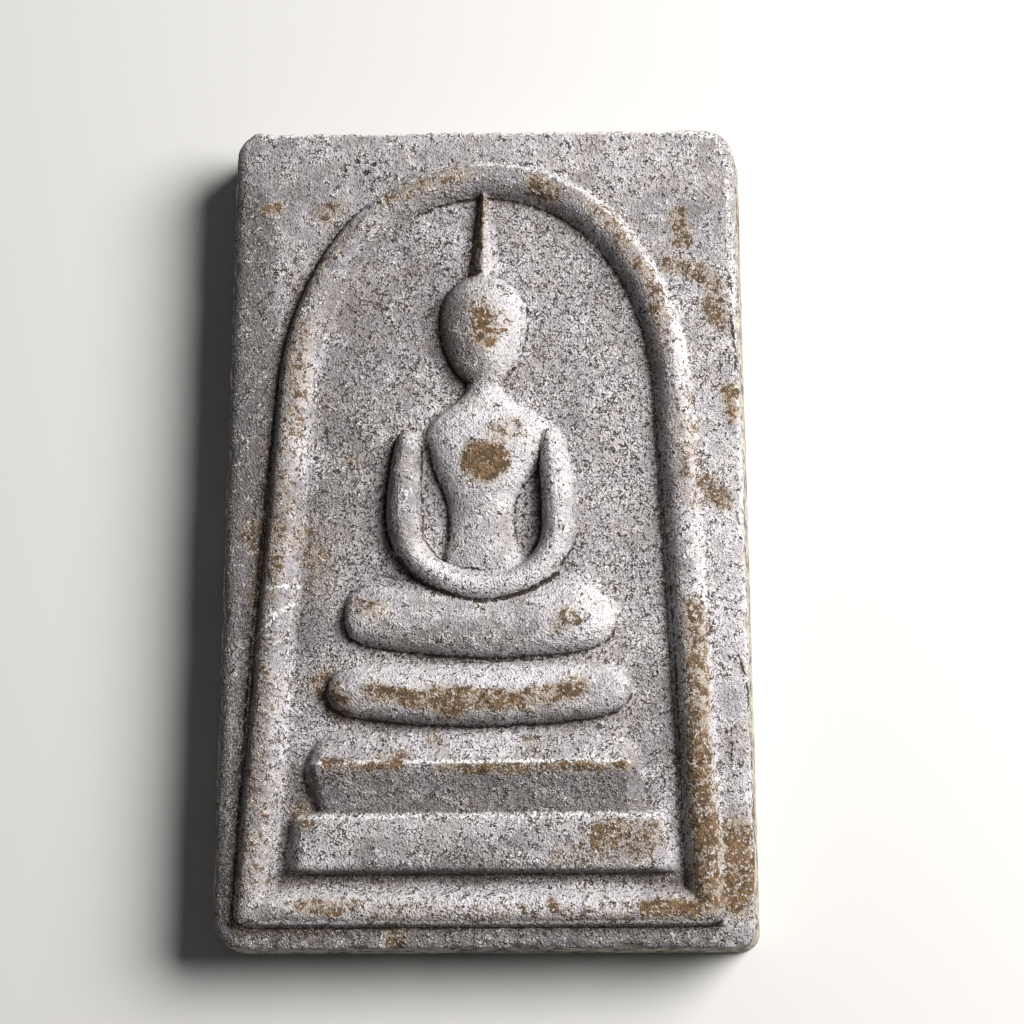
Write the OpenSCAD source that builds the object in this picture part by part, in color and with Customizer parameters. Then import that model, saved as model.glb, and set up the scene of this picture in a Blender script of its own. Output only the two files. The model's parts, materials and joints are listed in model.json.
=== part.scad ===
// Pressed clay votive tablet, lying on its back: a seated figure on a three-tier
// throne, in low relief inside an arched frame. The back rests on Z = 0, the relief
// faces +Z and the crown of the arch points to +Y.

/* [Tablet] */
// Height of the tablet across its back
tablet_h = 38.4; // [30:0.1:60]
// Width of the back at the foot
foot_w = 24.9; // [22:0.1:40]
// Width of the back at the top
top_w = 23.95; // [21:0.1:40]
// Thickness of the slab at the margins
slab_t = 4.2; // [2:0.1:9]
// How far the top and the two long sides lean in between the back and the front
draft = 0.2; // [0:0.05:1]
// Radius that the corners are worn to
corner_r = 1.15; // [0.9:0.05:3]
// Radius that the front edges are worn to
edge_r = 0.4; // [0.1:0.05:0.7]
// Height of the upright edge at the back, below the lean of the sides
land = 0.3; // [0.1:0.05:1]

/* [Arched frame] */
// Margin beside the frame, from the slab's foot corner to the middle of the bead
side_margin = 2.55; // [1.5:0.05:4]
// Margin above the frame, to the middle of the bead
top_margin = 2.7; // [1.5:0.05:6]
// Margin below the frame, to the middle of the bottom bar
foot_margin = 1.9; // [1.5:0.05:6]
// Width of the half-round bead
bead_w = 1.75; // [0.8:0.05:3]
// Height of the bead above the field
bead_rise = 0.95; // [0.4:0.05:2]
// Lean of the frame's legs from upright, in degrees
leg_lean = 2.9; // [0:0.1:6]
// Crown arc's radius as a share of the half width that it spans
crown_share = 0.91; // [0.6:0.01:0.97]
// Haunch arc's radius as a share of the same half width
haunch_share = 1.42; // [1.1:0.01:2]
// Depth of the field inside the frame below the margins
field_depth = 0.2; // [0.05:0.05:0.8]

/* [Throne] */
// Gap between the bottom bar and the plinth
plinth_gap = 0.65; // [0.2:0.05:2]
// Height of the plinth, the lowest tier
plinth_h = 2.85; // [1.5:0.05:5]
// Gap between each end of the plinth and the frame's leg beside it
plinth_clear = 0.15; // [0:0.05:2]
// Relief of the plinth
plinth_rise = 0.95; // [0.4:0.05:2]
// How far the ends of the two lower tiers slope in
end_slope = 0.35; // [0:0.05:0.8]
// Height of the middle tier
middle_h = 3.4; // [2:0.05:6]
// Width of the middle tier
middle_w = 15.2; // [10:0.1:22]
// Relief of the middle tier at its crest
middle_rise = 1.15; // [0.4:0.05:2]
// Gap between the middle tier and the cushion tier
cushion_gap = 0.2; // [0.05:0.05:1]
// Height of the cushion, the top tier
cushion_h = 3.0; // [1.5:0.05:5]
// Width of the cushion
cushion_w = 13.9; // [9:0.1:20]
// Relief of the cushion at its crest
cushion_rise = 1.2; // [0.4:0.05:2]

/* [Figure] */
// Width across the folded legs
lap_w = 12.6; // [8:0.1:18]
// Relief of the folded legs
lap_rise = 1.25; // [0.4:0.05:2]
// Width across the outer edges of the arms
arms_w = 9.1; // [6:0.1:14]
// Width of one arm
arm_w = 1.5; // [0.8:0.05:2.5]
// Relief of the arms
arm_rise = 1.15; // [0.4:0.05:2]
// Width across the shoulders
shoulder_w = 6.6; // [4:0.1:10]
// Relief of the chest
chest_rise = 1.35; // [0.4:0.05:2]
// Width of the head
head_w = 4.05; // [2.5:0.05:6]
// Relief of the head
head_rise = 1.35; // [0.4:0.05:2]
// Width of the topknot where it leaves the head
topknot_w = 1.2; // [0.6:0.05:2]
// Relief of the topknot
topknot_rise = 0.75; // [0.3:0.05:1.5]

/* [Hidden] */
$fn = 32;
// how far each form's root reaches down into the slab, and a share of its relief besides
root = 0.1;
root_share = 0.8;
// points that smooth() puts on each stretch between two rows of a table
steps = 2;
// degrees between the points of an arc of the frame
arc_step = 7.5;
// degrees between the points of the slab's worn front edge
edge_step = 22.5;
// how far a shape that cuts runs past what it cuts
past = 1;
field_z = slab_t - field_depth;

// where the frame's bead runs
bar_y = -tablet_h / 2 + foot_margin;
crown_y = tablet_h / 2 - top_margin;
leg_foot_x = foot_w / 2 - side_margin;
// the arch's half width, measured square to its legs near the height of the crown's centre
span = leg_foot_x * cos(leg_lean) - (crown_y - leg_foot_x - bar_y) * sin(leg_lean);
crown_r = crown_share * span;
haunch_r = haunch_share * span;

// where the tiers and the figure stand, each on the one below it
plinth_y = bar_y + bead_w / 2 + plinth_gap;
plinth_w = 2 * (leg_foot_x - (plinth_y - bar_y) * tan(leg_lean) - bead_w / 2 - plinth_clear);
middle_y = plinth_y + plinth_h;
cushion_y = middle_y + middle_h + cushion_gap;
seat_y = cushion_y + cushion_h;
figure_h = crown_y - bead_w / 2 - seat_y;

// Corners of the slab: side, end, share of corner_r that it is worn to, and share of
// edge_r that its front edge is worn to, less at the foot
CORNERS = [
    [-1, 1, 1.15, 1],
    [1, 1, 1.3, 1],
    [1, -1, 0.8, 0.35],
    [-1, -1, 1.35, 0.35],
];

// Profiles across a form, from its foot side (-1) to its head side (1), as shares of
// the half width and of the relief
BEAD = [for (a = [180:-30:0]) [cos(a), sin(a)]];
ROUND = [for (a = [180:-22.5:0]) [cos(a), sin(a)]];
CUSHION = [[-1, 0.1], [-0.93, 0.5], [-0.7, 0.83], [-0.3, 0.98], [-0.1, 1], [0.2, 0.9],
    [0.6, 0.62], [1, 0.12]];

// Profiles up the two lower tiers, as shares of the tier's height and relief
PLINTH = [[0, 0.3], [0.03, 0.85], [0.08, 0.97], [0.75, 1], [0.81, 0.93], [1, 0.55]];
MIDDLE = [[0, 0.5], [0.12, 0.5], [0.32, 0.68], [0.45, 0.93], [0.49, 1], [0.54, 0.99],
    [0.78, 0.6], [1, 0.2]];

// Outlines of the two lower tiers: across, a share of half the width, and up, a share
// of the height
PLINTH_OUTLINE = [[-1.01, 0], [0.99, 0], [0.95, 0.8], [0.93, 1], [-0.97, 1], [-0.99, 0.8]];
MIDDLE_OUTLINE = [[-1, 0], [0.97, 0], [0.93, 0.25], [0.95, 0.5], [0.94, 0.72], [0.84, 1],
    [-0.96, 1], [-1.05, 0.72], [-1.06, 0.5], [-1.04, 0.25]];

// The tables below have a row for each section of a form. Columns:
// across: place of the section's middle, a share of half the form's width
// up:     place of the middle, a share of the form's height
// width:  width of the section, a share of the size that the form's module names
// rise:   relief of the section, a share of the form's relief
CUSHION_ROWS = [
    [-1.04, 0.56, 0.22, 0.3],
    [-0.99, 0.57, 0.55, 0.7],
    [-0.89, 0.56, 0.78, 0.92],
    [-0.7, 0.56, 0.92, 1],
    [-0.42, 0.52, 0.98, 1],
    [-0.02, 0.5, 1, 1],
    [0.42, 0.52, 0.97, 1],
    [0.72, 0.57, 0.9, 1],
    [0.87, 0.58, 0.72, 0.92],
    [0.94, 0.58, 0.45, 0.7],
    [0.97, 0.58, 0.2, 0.3],
];
LAP_ROWS = [
    [-1.02, 0.1, 0.035, 0.35],
    [-0.97, 0.1, 0.095, 0.75],
    [-0.87, 0.104, 0.135, 0.92],
    [-0.67, 0.1, 0.148, 1],
    [-0.38, 0.09, 0.15, 1],
    [0.01, 0.081, 0.15, 1],
    [0.33, 0.086, 0.152, 1],
    [0.58, 0.099, 0.167, 1],
    [0.77, 0.099, 0.15, 0.95],
    [0.9, 0.095, 0.105, 0.8],
    [0.96, 0.09, 0.035, 0.35],
];
ARMS_ROWS = [
    [-0.7, 0.492, 0.6, 0.7],
    [-0.88, 0.468, 1, 0.97],
    [-0.97, 0.41, 1, 1],
    [-1.02, 0.3, 1, 1],
    [-0.95, 0.212, 0.95, 1],
    [-0.66, 0.155, 0.89, 1],
    [-0.28, 0.133, 0.86, 1],
    [0.1, 0.131, 0.86, 1],
    [0.5, 0.149, 0.89, 1],
    [0.84, 0.195, 0.93, 1],
    [0.96, 0.29, 1, 1],
    [0.94, 0.4, 1, 1],
    [0.87, 0.457, 1, 0.97],
    [0.7, 0.485, 0.6, 0.7],
];
TORSO_ROWS = [
    [0, 0.13, 0.42, 0.45],
    [-0.02, 0.2, 0.45, 0.5],
    [-0.02, 0.27, 0.46, 0.62],
    [-0.02, 0.325, 0.52, 0.8],
    [0.01, 0.375, 0.68, 0.95],
    [0.01, 0.425, 0.8, 1],
    [0, 0.465, 1, 0.95],
    [0, 0.497, 0.95, 0.82],
    [0, 0.52, 0.7, 0.68],
    [0, 0.542, 0.42, 0.6],
    [0, 0.57, 0.31, 0.6],
    [0, 0.61, 0.3, 0.6],
];
HEAD_ROWS = [
    [0, 0.585, 0.2, 0.35],
    [0, 0.6, 0.5, 0.68],
    [0, 0.635, 0.76, 0.88],
    [0, 0.68, 0.94, 0.98],
    [0, 0.725, 1, 1],
    [0, 0.768, 0.95, 0.97],
    [0, 0.8, 0.74, 0.86],
    [0, 0.82, 0.46, 0.66],
    [0, 0.83, 0.2, 0.35],
];
TOPKNOT_ROWS = [
    [0, 0.805, 1.05, 1.2],
    [0, 0.84, 0.95, 1],
    [0, 0.91, 0.68, 0.9],
    [0, 0.97, 0.45, 0.8],
    [0, 1.025, 0.3, 0.75],
];

// Points of an arc from angle a0 to a1 about centre c
function arc(c, r, a0, a1) =
    let (n = ceil(abs(a1 - a0) / arc_step))
    [for (i = [0:n]) let (a = a0 + (a1 - a0) * i / n) c + r * [cos(a), sin(a)]];

// Right half of the frame's middle line, from its foot to the crown: a straight leg,
// a wide haunch arc that touches it, and a crown arc that touches the haunch arc
function half_arch() =
    let (
        out = [cos(leg_lean), sin(leg_lean)],
        along = [-sin(leg_lean), cos(leg_lean)],
        crown_c = [0, crown_y - crown_r],
        side = out * ([leg_foot_x, bar_y] - crown_c) - haunch_r,
        drop = sqrt(pow(haunch_r - crown_r, 2) - side * side),
        haunch_c = crown_c + side * out - drop * along,
        to_crown = crown_c - haunch_c,
        meet = atan2(to_crown.y, to_crown.x),
        crown = arc(crown_c, crown_r, meet, 90)
    )
    concat(
        [[leg_foot_x, bar_y]],
        arc(haunch_c, haunch_r, leg_lean, meet),
        [for (i = [1:len(crown) - 1]) crown[i]]
    );

// The whole closed middle line, right leg first
function arch_line() =
    let (half = half_arch())
    concat(half, [for (i = [len(half) - 2:-1:0]) [-half[i].x, half[i].y]]);

// A point between b and c on the smooth curve through a, b, c and d
function between(a, b, c, d, t) =
    0.5 * (2 * b + (c - a) * t + (2 * a - 5 * b + 4 * c - d) * t * t
        + (3 * b - a - 3 * c + d) * t * t * t);

// The rows of a table with more rows put between them along a smooth curve
function smooth(rows) =
    let (last = len(rows) - 1)
    concat(
        [for (i = [0:last - 1], k = [0:steps - 1])
            between(rows[max(0, i - 1)], rows[i], rows[i + 1], rows[min(last, i + 2)], k / steps)],
        [rows[last]]
    );

// A table's rows at their real sizes: x, y, width and rise
function sized(rows, half_w, y0, h, width, rise) =
    [for (s = rows) [s[0] * half_w, y0 + s[1] * h, s[2] * width, s[3] * rise]];

// A raised form, swept through its sections with the profile across it
module relief(rows, profile, closed = false) {
    n = len(rows);
    m = len(profile) + 2;
    bands = closed ? n : n - 1;
    function spot(i) = let (r = rows[closed ? (i + n) % n : min(n - 1, max(0, i))]) [r[0], r[1]];
    function unit(v) = v / norm(v);
    function ring(i) =
        let (
            ahead = spot(i + 1) - spot(i),
            behind = spot(i) - spot(i - 1),
            into = unit(norm(behind) > 0 ? behind : ahead),
            away = unit(norm(ahead) > 0 ? ahead : behind),
            run = unit(into + away),
            across = [-run.y, run.x] / (run * away),
            half = rows[i][2] / 2,
            root_z = field_z - root - root_share * rows[i][3]
        )
        concat(
            [concat(spot(i) - half * across, root_z)],
            [for (p = profile) concat(spot(i) + p[0] * half * across, field_z + p[1] * rows[i][3])],
            [concat(spot(i) + half * across, root_z)]
        );
    points = [for (i = [0:n - 1]) each ring(i)];
    skin = [for (i = [0:bands - 1], j = [0:m - 1])
        let (
            a = i * m + j,
            b = i * m + (j + 1) % m,
            c = (i + 1) % n * m + (j + 1) % m,
            d = (i + 1) % n * m + j
        )
        each [[a, b, c], [a, c, d]]];
    first_end = [for (j = [m - 1:-1:0]) j];
    last_end = [for (j = [0:m - 1]) (n - 1) * m + j];
    polyhedron(points, closed ? skin : concat(skin, [first_end, last_end]), convexity = 6);
}

// One worn corner of the slab: upright at the back, rounded at the front edge
module corner(side, end, r, edge) {
    x = (end > 0 ? top_w : foot_w) / 2 - r;
    y = tablet_h / 2 - r;
    end_draft = end > 0 ? draft : 0;
    worn = [for (a = [0:edge_step:90]) [r - edge + edge * cos(a), edge * sin(a)]];
    translate([side * x, end * y, 0]) cylinder(r = r, h = land);
    translate([side * (x - draft), end * (y - end_draft), slab_t - edge])
        rotate_extrude() polygon(concat([[0, 0]], worn));
}

// The slab, flat at the back, with the field sunk a little inside the frame
module slab() {
    color("#b9b2ad")
    difference() {
        hull() for (c = CORNERS) corner(c[0], c[1], c[2] * corner_r, c[3] * edge_r);
        translate([0, 0, field_z]) linear_extrude(field_depth + past) polygon(arch_line());
    }
}

// The half-round bead of the arched frame, with mitred corners at the foot
module bead() {
    color("#c3bcb8")
    relief([for (p = arch_line()) [p.x, p.y, bead_w, bead_rise]], BEAD, closed = true);
}

// One of the two lower tiers: its profile run across the tablet, cut to its outline
// from above, and cut to its sloping ends from the front
module tier(outline, profile, w, y0, h, rise) {
    left = min([for (o = outline) o[0]]) * w / 2;
    right = max([for (o = outline) o[0]]) * w / 2;
    low = -root - root_share * rise;
    high = rise + past;
    lean = end_slope * high / rise;
    side = concat([[0, low]], [for (p = profile) [p[0] * h, p[1] * rise]], [[h, low]]);
    plan = [for (o = outline) [o[0] * w / 2, o[1] * h]];
    front = [[left, low - past], [right, low - past], [right, 0], [right - lean, high],
        [left + lean, high], [left, 0]];
    translate([0, y0, field_z]) intersection() {
        translate([left - past, 0, 0]) rotate([90, 0, 90])
            linear_extrude(right - left + 2 * past) polygon(side);
        translate([0, 0, low - past]) linear_extrude(high - low + 2 * past) polygon(plan);
        translate([0, h + past, 0]) rotate([90, 0, 0]) linear_extrude(h + 2 * past) polygon(front);
    }
}

// The lowest tier, a flat-faced plinth with a sloping top
module plinth() {
    color("#bab4b4")
    tier(PLINTH_OUTLINE, PLINTH, plinth_w, plinth_y, plinth_h, plinth_rise);
}

// The middle tier: a slope up to a crisp crest, with a hollow face below it
module middle_tier() {
    color("#b5b0b2")
    tier(MIDDLE_OUTLINE, MIDDLE, middle_w, middle_y, middle_h, middle_rise);
}

// The top tier, a boat-shaped cushion
module cushion() {
    color("#bdb7b8")
    relief(
        sized(smooth(CUSHION_ROWS), cushion_w / 2, cushion_y, cushion_h, cushion_h, cushion_rise),
        CUSHION
    );
}

// The folded legs
module lap() {
    color("#bcb6b6")
    relief(sized(smooth(LAP_ROWS), lap_w / 2, seat_y, figure_h, figure_h, lap_rise), ROUND);
}

// Both arms in one loop, from shoulder to shoulder through the joined hands
module arms() {
    color("#c8c2c1")
    relief(
        sized(smooth(ARMS_ROWS), (arms_w - arm_w) / 2, seat_y, figure_h, arm_w, arm_rise),
        ROUND
    );
}

// Belly, chest, shoulders and neck
module torso() {
    color("#bdb6b4")
    relief(
        sized(smooth(TORSO_ROWS), shoulder_w / 2, seat_y, figure_h, shoulder_w, chest_rise),
        ROUND
    );
}

// The head, a plain egg
module head() {
    color("#c6bfbb")
    relief(sized(smooth(HEAD_ROWS), head_w / 2, seat_y, figure_h, head_w, head_rise), ROUND);
}

// The topknot, which tapers up to the crown of the frame
module topknot() {
    color("#bfb8b4")
    relief(
        sized(smooth(TOPKNOT_ROWS), head_w / 2, seat_y, figure_h, topknot_w, topknot_rise),
        ROUND
    );
}

module tablet() {
    union() {
        slab();
        bead();
        plinth();
        middle_tier();
        cushion();
        lap();
        arms();
        torso();
        head();
        topknot();
    }
}

tablet();
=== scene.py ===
"""Looks of a pressed clay votive tablet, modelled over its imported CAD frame.

The file is laid out as a Blender add-on and is run as a script. The forms are modelled
at one unit to the millimetre, pressed into one skin, and then brought to metres.
"""
import json
import math

import bpy
import numpy as np
from mathutils import Matrix, Vector

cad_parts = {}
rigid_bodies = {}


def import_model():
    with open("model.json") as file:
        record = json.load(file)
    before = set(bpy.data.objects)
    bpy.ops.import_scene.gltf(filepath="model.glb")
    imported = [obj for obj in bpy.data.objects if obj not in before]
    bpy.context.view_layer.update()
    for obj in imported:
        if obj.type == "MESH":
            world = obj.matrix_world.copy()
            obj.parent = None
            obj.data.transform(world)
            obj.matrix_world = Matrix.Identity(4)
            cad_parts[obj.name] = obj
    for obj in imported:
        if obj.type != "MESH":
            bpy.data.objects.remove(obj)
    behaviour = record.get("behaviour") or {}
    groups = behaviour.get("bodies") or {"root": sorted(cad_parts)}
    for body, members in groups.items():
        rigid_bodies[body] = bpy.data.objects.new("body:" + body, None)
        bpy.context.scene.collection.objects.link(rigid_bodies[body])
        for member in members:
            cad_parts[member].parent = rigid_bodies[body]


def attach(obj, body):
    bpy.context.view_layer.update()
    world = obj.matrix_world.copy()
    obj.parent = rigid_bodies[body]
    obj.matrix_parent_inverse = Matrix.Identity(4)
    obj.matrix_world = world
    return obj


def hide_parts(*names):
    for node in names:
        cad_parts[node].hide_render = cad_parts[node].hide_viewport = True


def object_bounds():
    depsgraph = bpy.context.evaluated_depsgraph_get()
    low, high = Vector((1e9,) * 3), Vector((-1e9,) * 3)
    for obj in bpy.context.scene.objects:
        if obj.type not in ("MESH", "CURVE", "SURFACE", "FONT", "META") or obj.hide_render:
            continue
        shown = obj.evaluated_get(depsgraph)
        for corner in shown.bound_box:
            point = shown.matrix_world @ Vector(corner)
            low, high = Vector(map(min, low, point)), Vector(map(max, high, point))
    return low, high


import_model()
CAD_BOX = [list(corner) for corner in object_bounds()]

bl_info = {
    "name": "Pressed clay tablet",
    "version": (1, 0, 0),
    "blender": (4, 5, 0),
    "location": "View3D > Sidebar > Tablet",
    "description": "Models a worn votive tablet of pressed lime and clay over its CAD frame",
    "category": "Object",
}

MM = 0.001
PIECE = "pressed_tablet"
NODE = "tablet"


# Settings


def length(name, description, millimetres):
    """A size that a user may change, kept in metres."""
    return bpy.props.FloatProperty(
        name=name,
        description=description,
        default=millimetres * MM,
        min=0.0,
        precision=5,
        unit="LENGTH",
        subtype="DISTANCE",
    )


def share(name, description, value):
    """A share of another size, which may pass one."""
    return bpy.props.FloatProperty(
        name=name, description=description, default=value, min=0.0, soft_max=2.0, subtype="FACTOR"
    )


def angle(name, description, degrees):
    return bpy.props.FloatProperty(
        name=name,
        description=description,
        default=math.radians(degrees),
        unit="ROTATION",
        subtype="ANGLE",
    )


def colour(name, description, red, green, blue):
    return bpy.props.FloatVectorProperty(
        name=name,
        description=description,
        default=(red, green, blue),
        min=0.0,
        max=1.0,
        size=3,
        subtype="COLOR",
    )


class SlabSettings(bpy.types.PropertyGroup):
    height: length("Height", "Height of the tablet across its back", 38.4)
    foot_width: length("Foot width", "Width of the back at the foot", 24.9)
    top_width: length("Top width", "Width of the back at the top", 23.95)
    thickness: length("Thickness", "Thickness of the slab at the margins", 4.2)
    lean: length("Lean", "How far the top and the right side lean in towards the front", 0.34)
    left_lean: length("Left lean", "How far the left side leans in towards the front", 0.32)
    top_fall: length("Top fall", "How far the front of the top edge falls to the right", 0.2)
    front_edge: length("Front edge", "Radius of the worn front edges", 0.3)
    left_edge: length("Left edge", "Radius of the worn left edge", 0.5)
    foot_edge: length("Foot edge", "Radius of the front edge at the foot", 0.1)
    corner: length("Corner", "Radius that the corners are worn to", 1.15)
    field_depth: length("Field depth", "Depth of the field below the margins", 0.2)


class FrameSettings(bpy.types.PropertyGroup):
    side_margin: length("Side margin", "Slab's foot corner to the middle of the bead", 2.55)
    top_margin: length("Top margin", "Top of the slab to the middle of the bead", 2.7)
    foot_margin: length("Foot margin", "Foot of the slab to the middle of the bottom bar", 1.76)
    width: length("Bead width", "Width of the half-round bead", 1.8)
    rise: length("Bead rise", "Height of the bead above the field", 0.93)
    lean: angle("Leg lean", "Lean of the legs from upright", 2.9)
    crown: share("Crown", "Radius of the crown arc as a share of the span", 0.91)
    haunch: share("Haunch", "Radius of the haunch arc as a share of the span", 1.42)


class ThroneSettings(bpy.types.PropertyGroup):
    plinth_gap: length("Plinth gap", "Gap between the bottom bar and the plinth", 0.65)
    plinth_height: length("Plinth height", "Height of the lowest tier", 2.75)
    plinth_width: length("Plinth width", "Width of the lowest tier at its foot", 17.6)
    plinth_rise: length("Plinth rise", "Relief of the lowest tier", 0.92)
    middle_height: length("Middle height", "Height of the middle tier", 3.64)
    middle_width: length("Middle width", "Width of the middle tier", 15.2)
    middle_rise: length("Middle rise", "Relief of the middle tier at its crest", 1.12)
    cushion_gap: length("Cushion gap", "Gap between the middle tier and the cushion", 0.2)
    cushion_height: length("Cushion height", "Height of the cushion tier", 3.0)
    cushion_width: length("Cushion width", "Width of the cushion tier", 13.9)
    cushion_rise: length("Cushion rise", "Relief of the cushion at its crest", 1.15)


class FigureSettings(bpy.types.PropertyGroup):
    lap_width: length("Lap width", "Width across the folded legs", 12.6)
    lap_rise: length("Lap rise", "Relief of the folded legs", 1.1)
    arms_width: length("Arms width", "Width across the outer edges of the arms", 9.1)
    arm_width: length("Arm width", "Width of one arm", 1.6)
    arm_rise: length("Arm rise", "Relief of the arms", 1.31)
    shoulder_width: length("Shoulder width", "Width across the shoulders", 6.6)
    chest_rise: length("Chest rise", "Relief of the chest", 1.28)
    head_width: length("Head width", "Width of the head", 4.05)
    head_rise: length("Head rise", "Relief of the head", 1.22)
    topknot_width: length("Topknot width", "Width of the topknot where it leaves the head", 1.32)
    topknot_rise: length("Topknot rise", "Relief of the topknot", 0.78)


class SurfaceSettings(bpy.types.PropertyGroup):
    voxel: length("Voxel", "Grain of the mesh that the forms are pressed into", 0.085)
    triangles: bpy.props.IntProperty(
        name="Triangles",
        description="Most triangles in the finished skin",
        default=190000,
        min=20000,
    )
    unevenness: length("Unevenness", "Slow waves of the pressed face", 0.1)
    lumps: length("Lumps", "Small lumps of the pressed face", 0.055)
    grit: length("Grit", "Finest roughness that the mesh carries", 0.03)
    chips: length("Chips", "Depth of the chips along the front edges", 0.15)
    # The bloom is also laid on as painted highlight on the flanks that face the light.
    pale: colour("Bloom", "Pale lilac-grey bloom", 0.645, 0.62, 0.655)
    # The grey also shows where painted shade thins the bloom.
    grey: colour("Grey", "Greyer ground under the bloom", 0.235, 0.215, 0.222)
    # The soot also paints the shade in the seams and on the shaded side of the creases.
    dark: colour("Soot", "Dark marks, pits and cracks", 0.045, 0.034, 0.028)
    brown: colour("Worn clay", "Brown clay where the bloom is rubbed off", 0.188, 0.119, 0.065)
    # The stain also lies thinly on the sides away from the light, as painted shade.
    gold: colour("Stain", "Soft stain round the worn places", 0.33, 0.26, 0.185)
    # The umber also paints the shade in the hollows and the shadow beside the frame's left leg.
    umber: colour("Umber", "Darker grains of the worn clay", 0.085, 0.055, 0.03)
    # The slate also paints the shade on the left margin and rim, the head's left, the tiers'
    # lower faces and the groove above the bar.
    slate: colour("Slate", "Dark grime", 0.115, 0.106, 0.107)
    cream: colour("Cream", "Cream of the cut walls", 0.56, 0.515, 0.43)


class StageSettings(bpy.types.PropertyGroup):
    floor: colour("Floor", "Plain pale floor", 0.6, 0.595, 0.585)
    key: bpy.props.FloatProperty(
        name="Key light",
        description="Power of the soft light",
        default=0.9,
        min=0.0,
        unit="POWER",
    )
    fill: share("Fill", "Strength of the light from all round", 0.075)
    lens: bpy.props.FloatProperty(
        name="Lens", description="Focal length on a 36 mm sensor", default=105.54, unit="CAMERA"
    )


SETTINGS = {
    "tablet_slab": SlabSettings,
    "tablet_frame": FrameSettings,
    "tablet_throne": ThroneSettings,
    "tablet_figure": FigureSettings,
    "tablet_surface": SurfaceSettings,
    "tablet_stage": StageSettings,
}


def sizes(name):
    """A group's lengths in millimetres and its other values as they are."""
    group = getattr(bpy.context.scene, name)
    found = {}
    for key, prop in group.bl_rna.properties.items():
        if key in ("name", "rna_type"):
            continue
        value = getattr(group, key)
        if prop.unit == "LENGTH":
            value = value / MM
        found[key] = value
    return type("Sizes", (), found)


# Tables of the forms. Each row is one section of a form: place across and place up, as
# shares of half the form's width and of its height, then the section's width and relief
# as shares of the form's own.

CUSHION_ROWS = [
    (-1.02, 0.56, 0.22, 0.3), (-0.99, 0.57, 0.55, 0.7), (-0.89, 0.56, 0.8, 0.92),
    (-0.7, 0.56, 0.93, 1.0), (-0.42, 0.52, 0.99, 1.0), (-0.02, 0.5, 1.01, 1.0),
    (0.42, 0.52, 0.98, 1.0), (0.72, 0.57, 0.92, 1.0), (0.87, 0.58, 0.76, 0.92),
    (0.94, 0.58, 0.5, 0.7), (0.97, 0.58, 0.2, 0.3),
]
LAP_ROWS = [
    (-1.0, 0.1, 0.045, 0.35), (-0.97, 0.1, 0.1, 0.75), (-0.87, 0.104, 0.14, 0.92),
    (-0.67, 0.1, 0.152, 1.0), (-0.38, 0.09, 0.154, 1.0), (0.01, 0.081, 0.154, 0.97),
    (0.33, 0.086, 0.156, 1.0), (0.58, 0.104, 0.182, 1.06), (0.77, 0.103, 0.163, 1.0),
    (0.9, 0.095, 0.11, 0.8), (0.96, 0.09, 0.045, 0.35),
]
ARMS_ROWS = [
    (-0.92, 0.487, 0.4, 0.7), (-0.934, 0.461, 0.72, 0.9), (-0.964, 0.401, 0.9, 1.0),
    (-0.974, 0.334, 1.0, 1.0), (-0.95, 0.276, 0.98, 1.0), (-0.788, 0.214, 0.92, 1.0),
    (-0.419, 0.168, 0.86, 1.0), (-0.066, 0.155, 0.86, 1.0), (0.275, 0.159, 0.84, 1.0),
    (0.568, 0.179, 0.86, 1.0), (0.8, 0.214, 0.97, 1.0), (0.91, 0.259, 1.0, 1.0),
    (0.932, 0.304, 1.03, 1.0), (0.916, 0.35, 1.0, 1.0), (0.883, 0.404, 0.95, 1.0),
    (0.85, 0.452, 0.8, 0.95), (0.79, 0.487, 0.6, 0.8),
]
TORSO_ROWS = [
    (0.045, 0.175, 0.6, 0.5), (0.028, 0.218, 0.58, 0.56), (0.008, 0.245, 0.52, 0.6),
    (-0.01, 0.272, 0.47, 0.63), (-0.023, 0.298, 0.45, 0.66), (-0.028, 0.325, 0.46, 0.72),
    (-0.022, 0.352, 0.51, 0.82), (-0.007, 0.379, 0.61, 0.92), (0.012, 0.405, 0.71, 0.99),
    (0.027, 0.439, 0.79, 1.0), (0.063, 0.47, 0.88, 0.96), (0.1, 0.496, 0.9, 0.86),
    (0.09, 0.517, 0.8, 0.76), (0.05, 0.534, 0.62, 0.69), (0.025, 0.551, 0.42, 0.64),
    (0.012, 0.568, 0.29, 0.62), (0.015, 0.588, 0.25, 0.6), (0.02, 0.612, 0.24, 0.6),
]
HEAD_ROWS = [
    (0.0, 0.59, 0.3, 0.45), (0.0, 0.6, 0.5, 0.68), (0.0, 0.635, 0.78, 0.88),
    (0.0, 0.68, 0.97, 0.98), (0.0, 0.725, 1.03, 1.0), (0.0, 0.768, 0.98, 0.97),
    (0.0, 0.8, 0.77, 0.86), (0.0, 0.82, 0.48, 0.66), (0.0, 0.828, 0.25, 0.45),
]
TOPKNOT_ROWS = [
    (0.0, 0.805, 1.15, 1.2), (0.0, 0.84, 0.98, 1.0), (0.0, 0.91, 0.72, 0.92),
    (0.0, 0.97, 0.5, 0.85), (0.0, 1.025, 0.36, 0.8),
]

# Share of a form's relief that goes on below the field as its root
ROOT = 0.8

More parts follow.
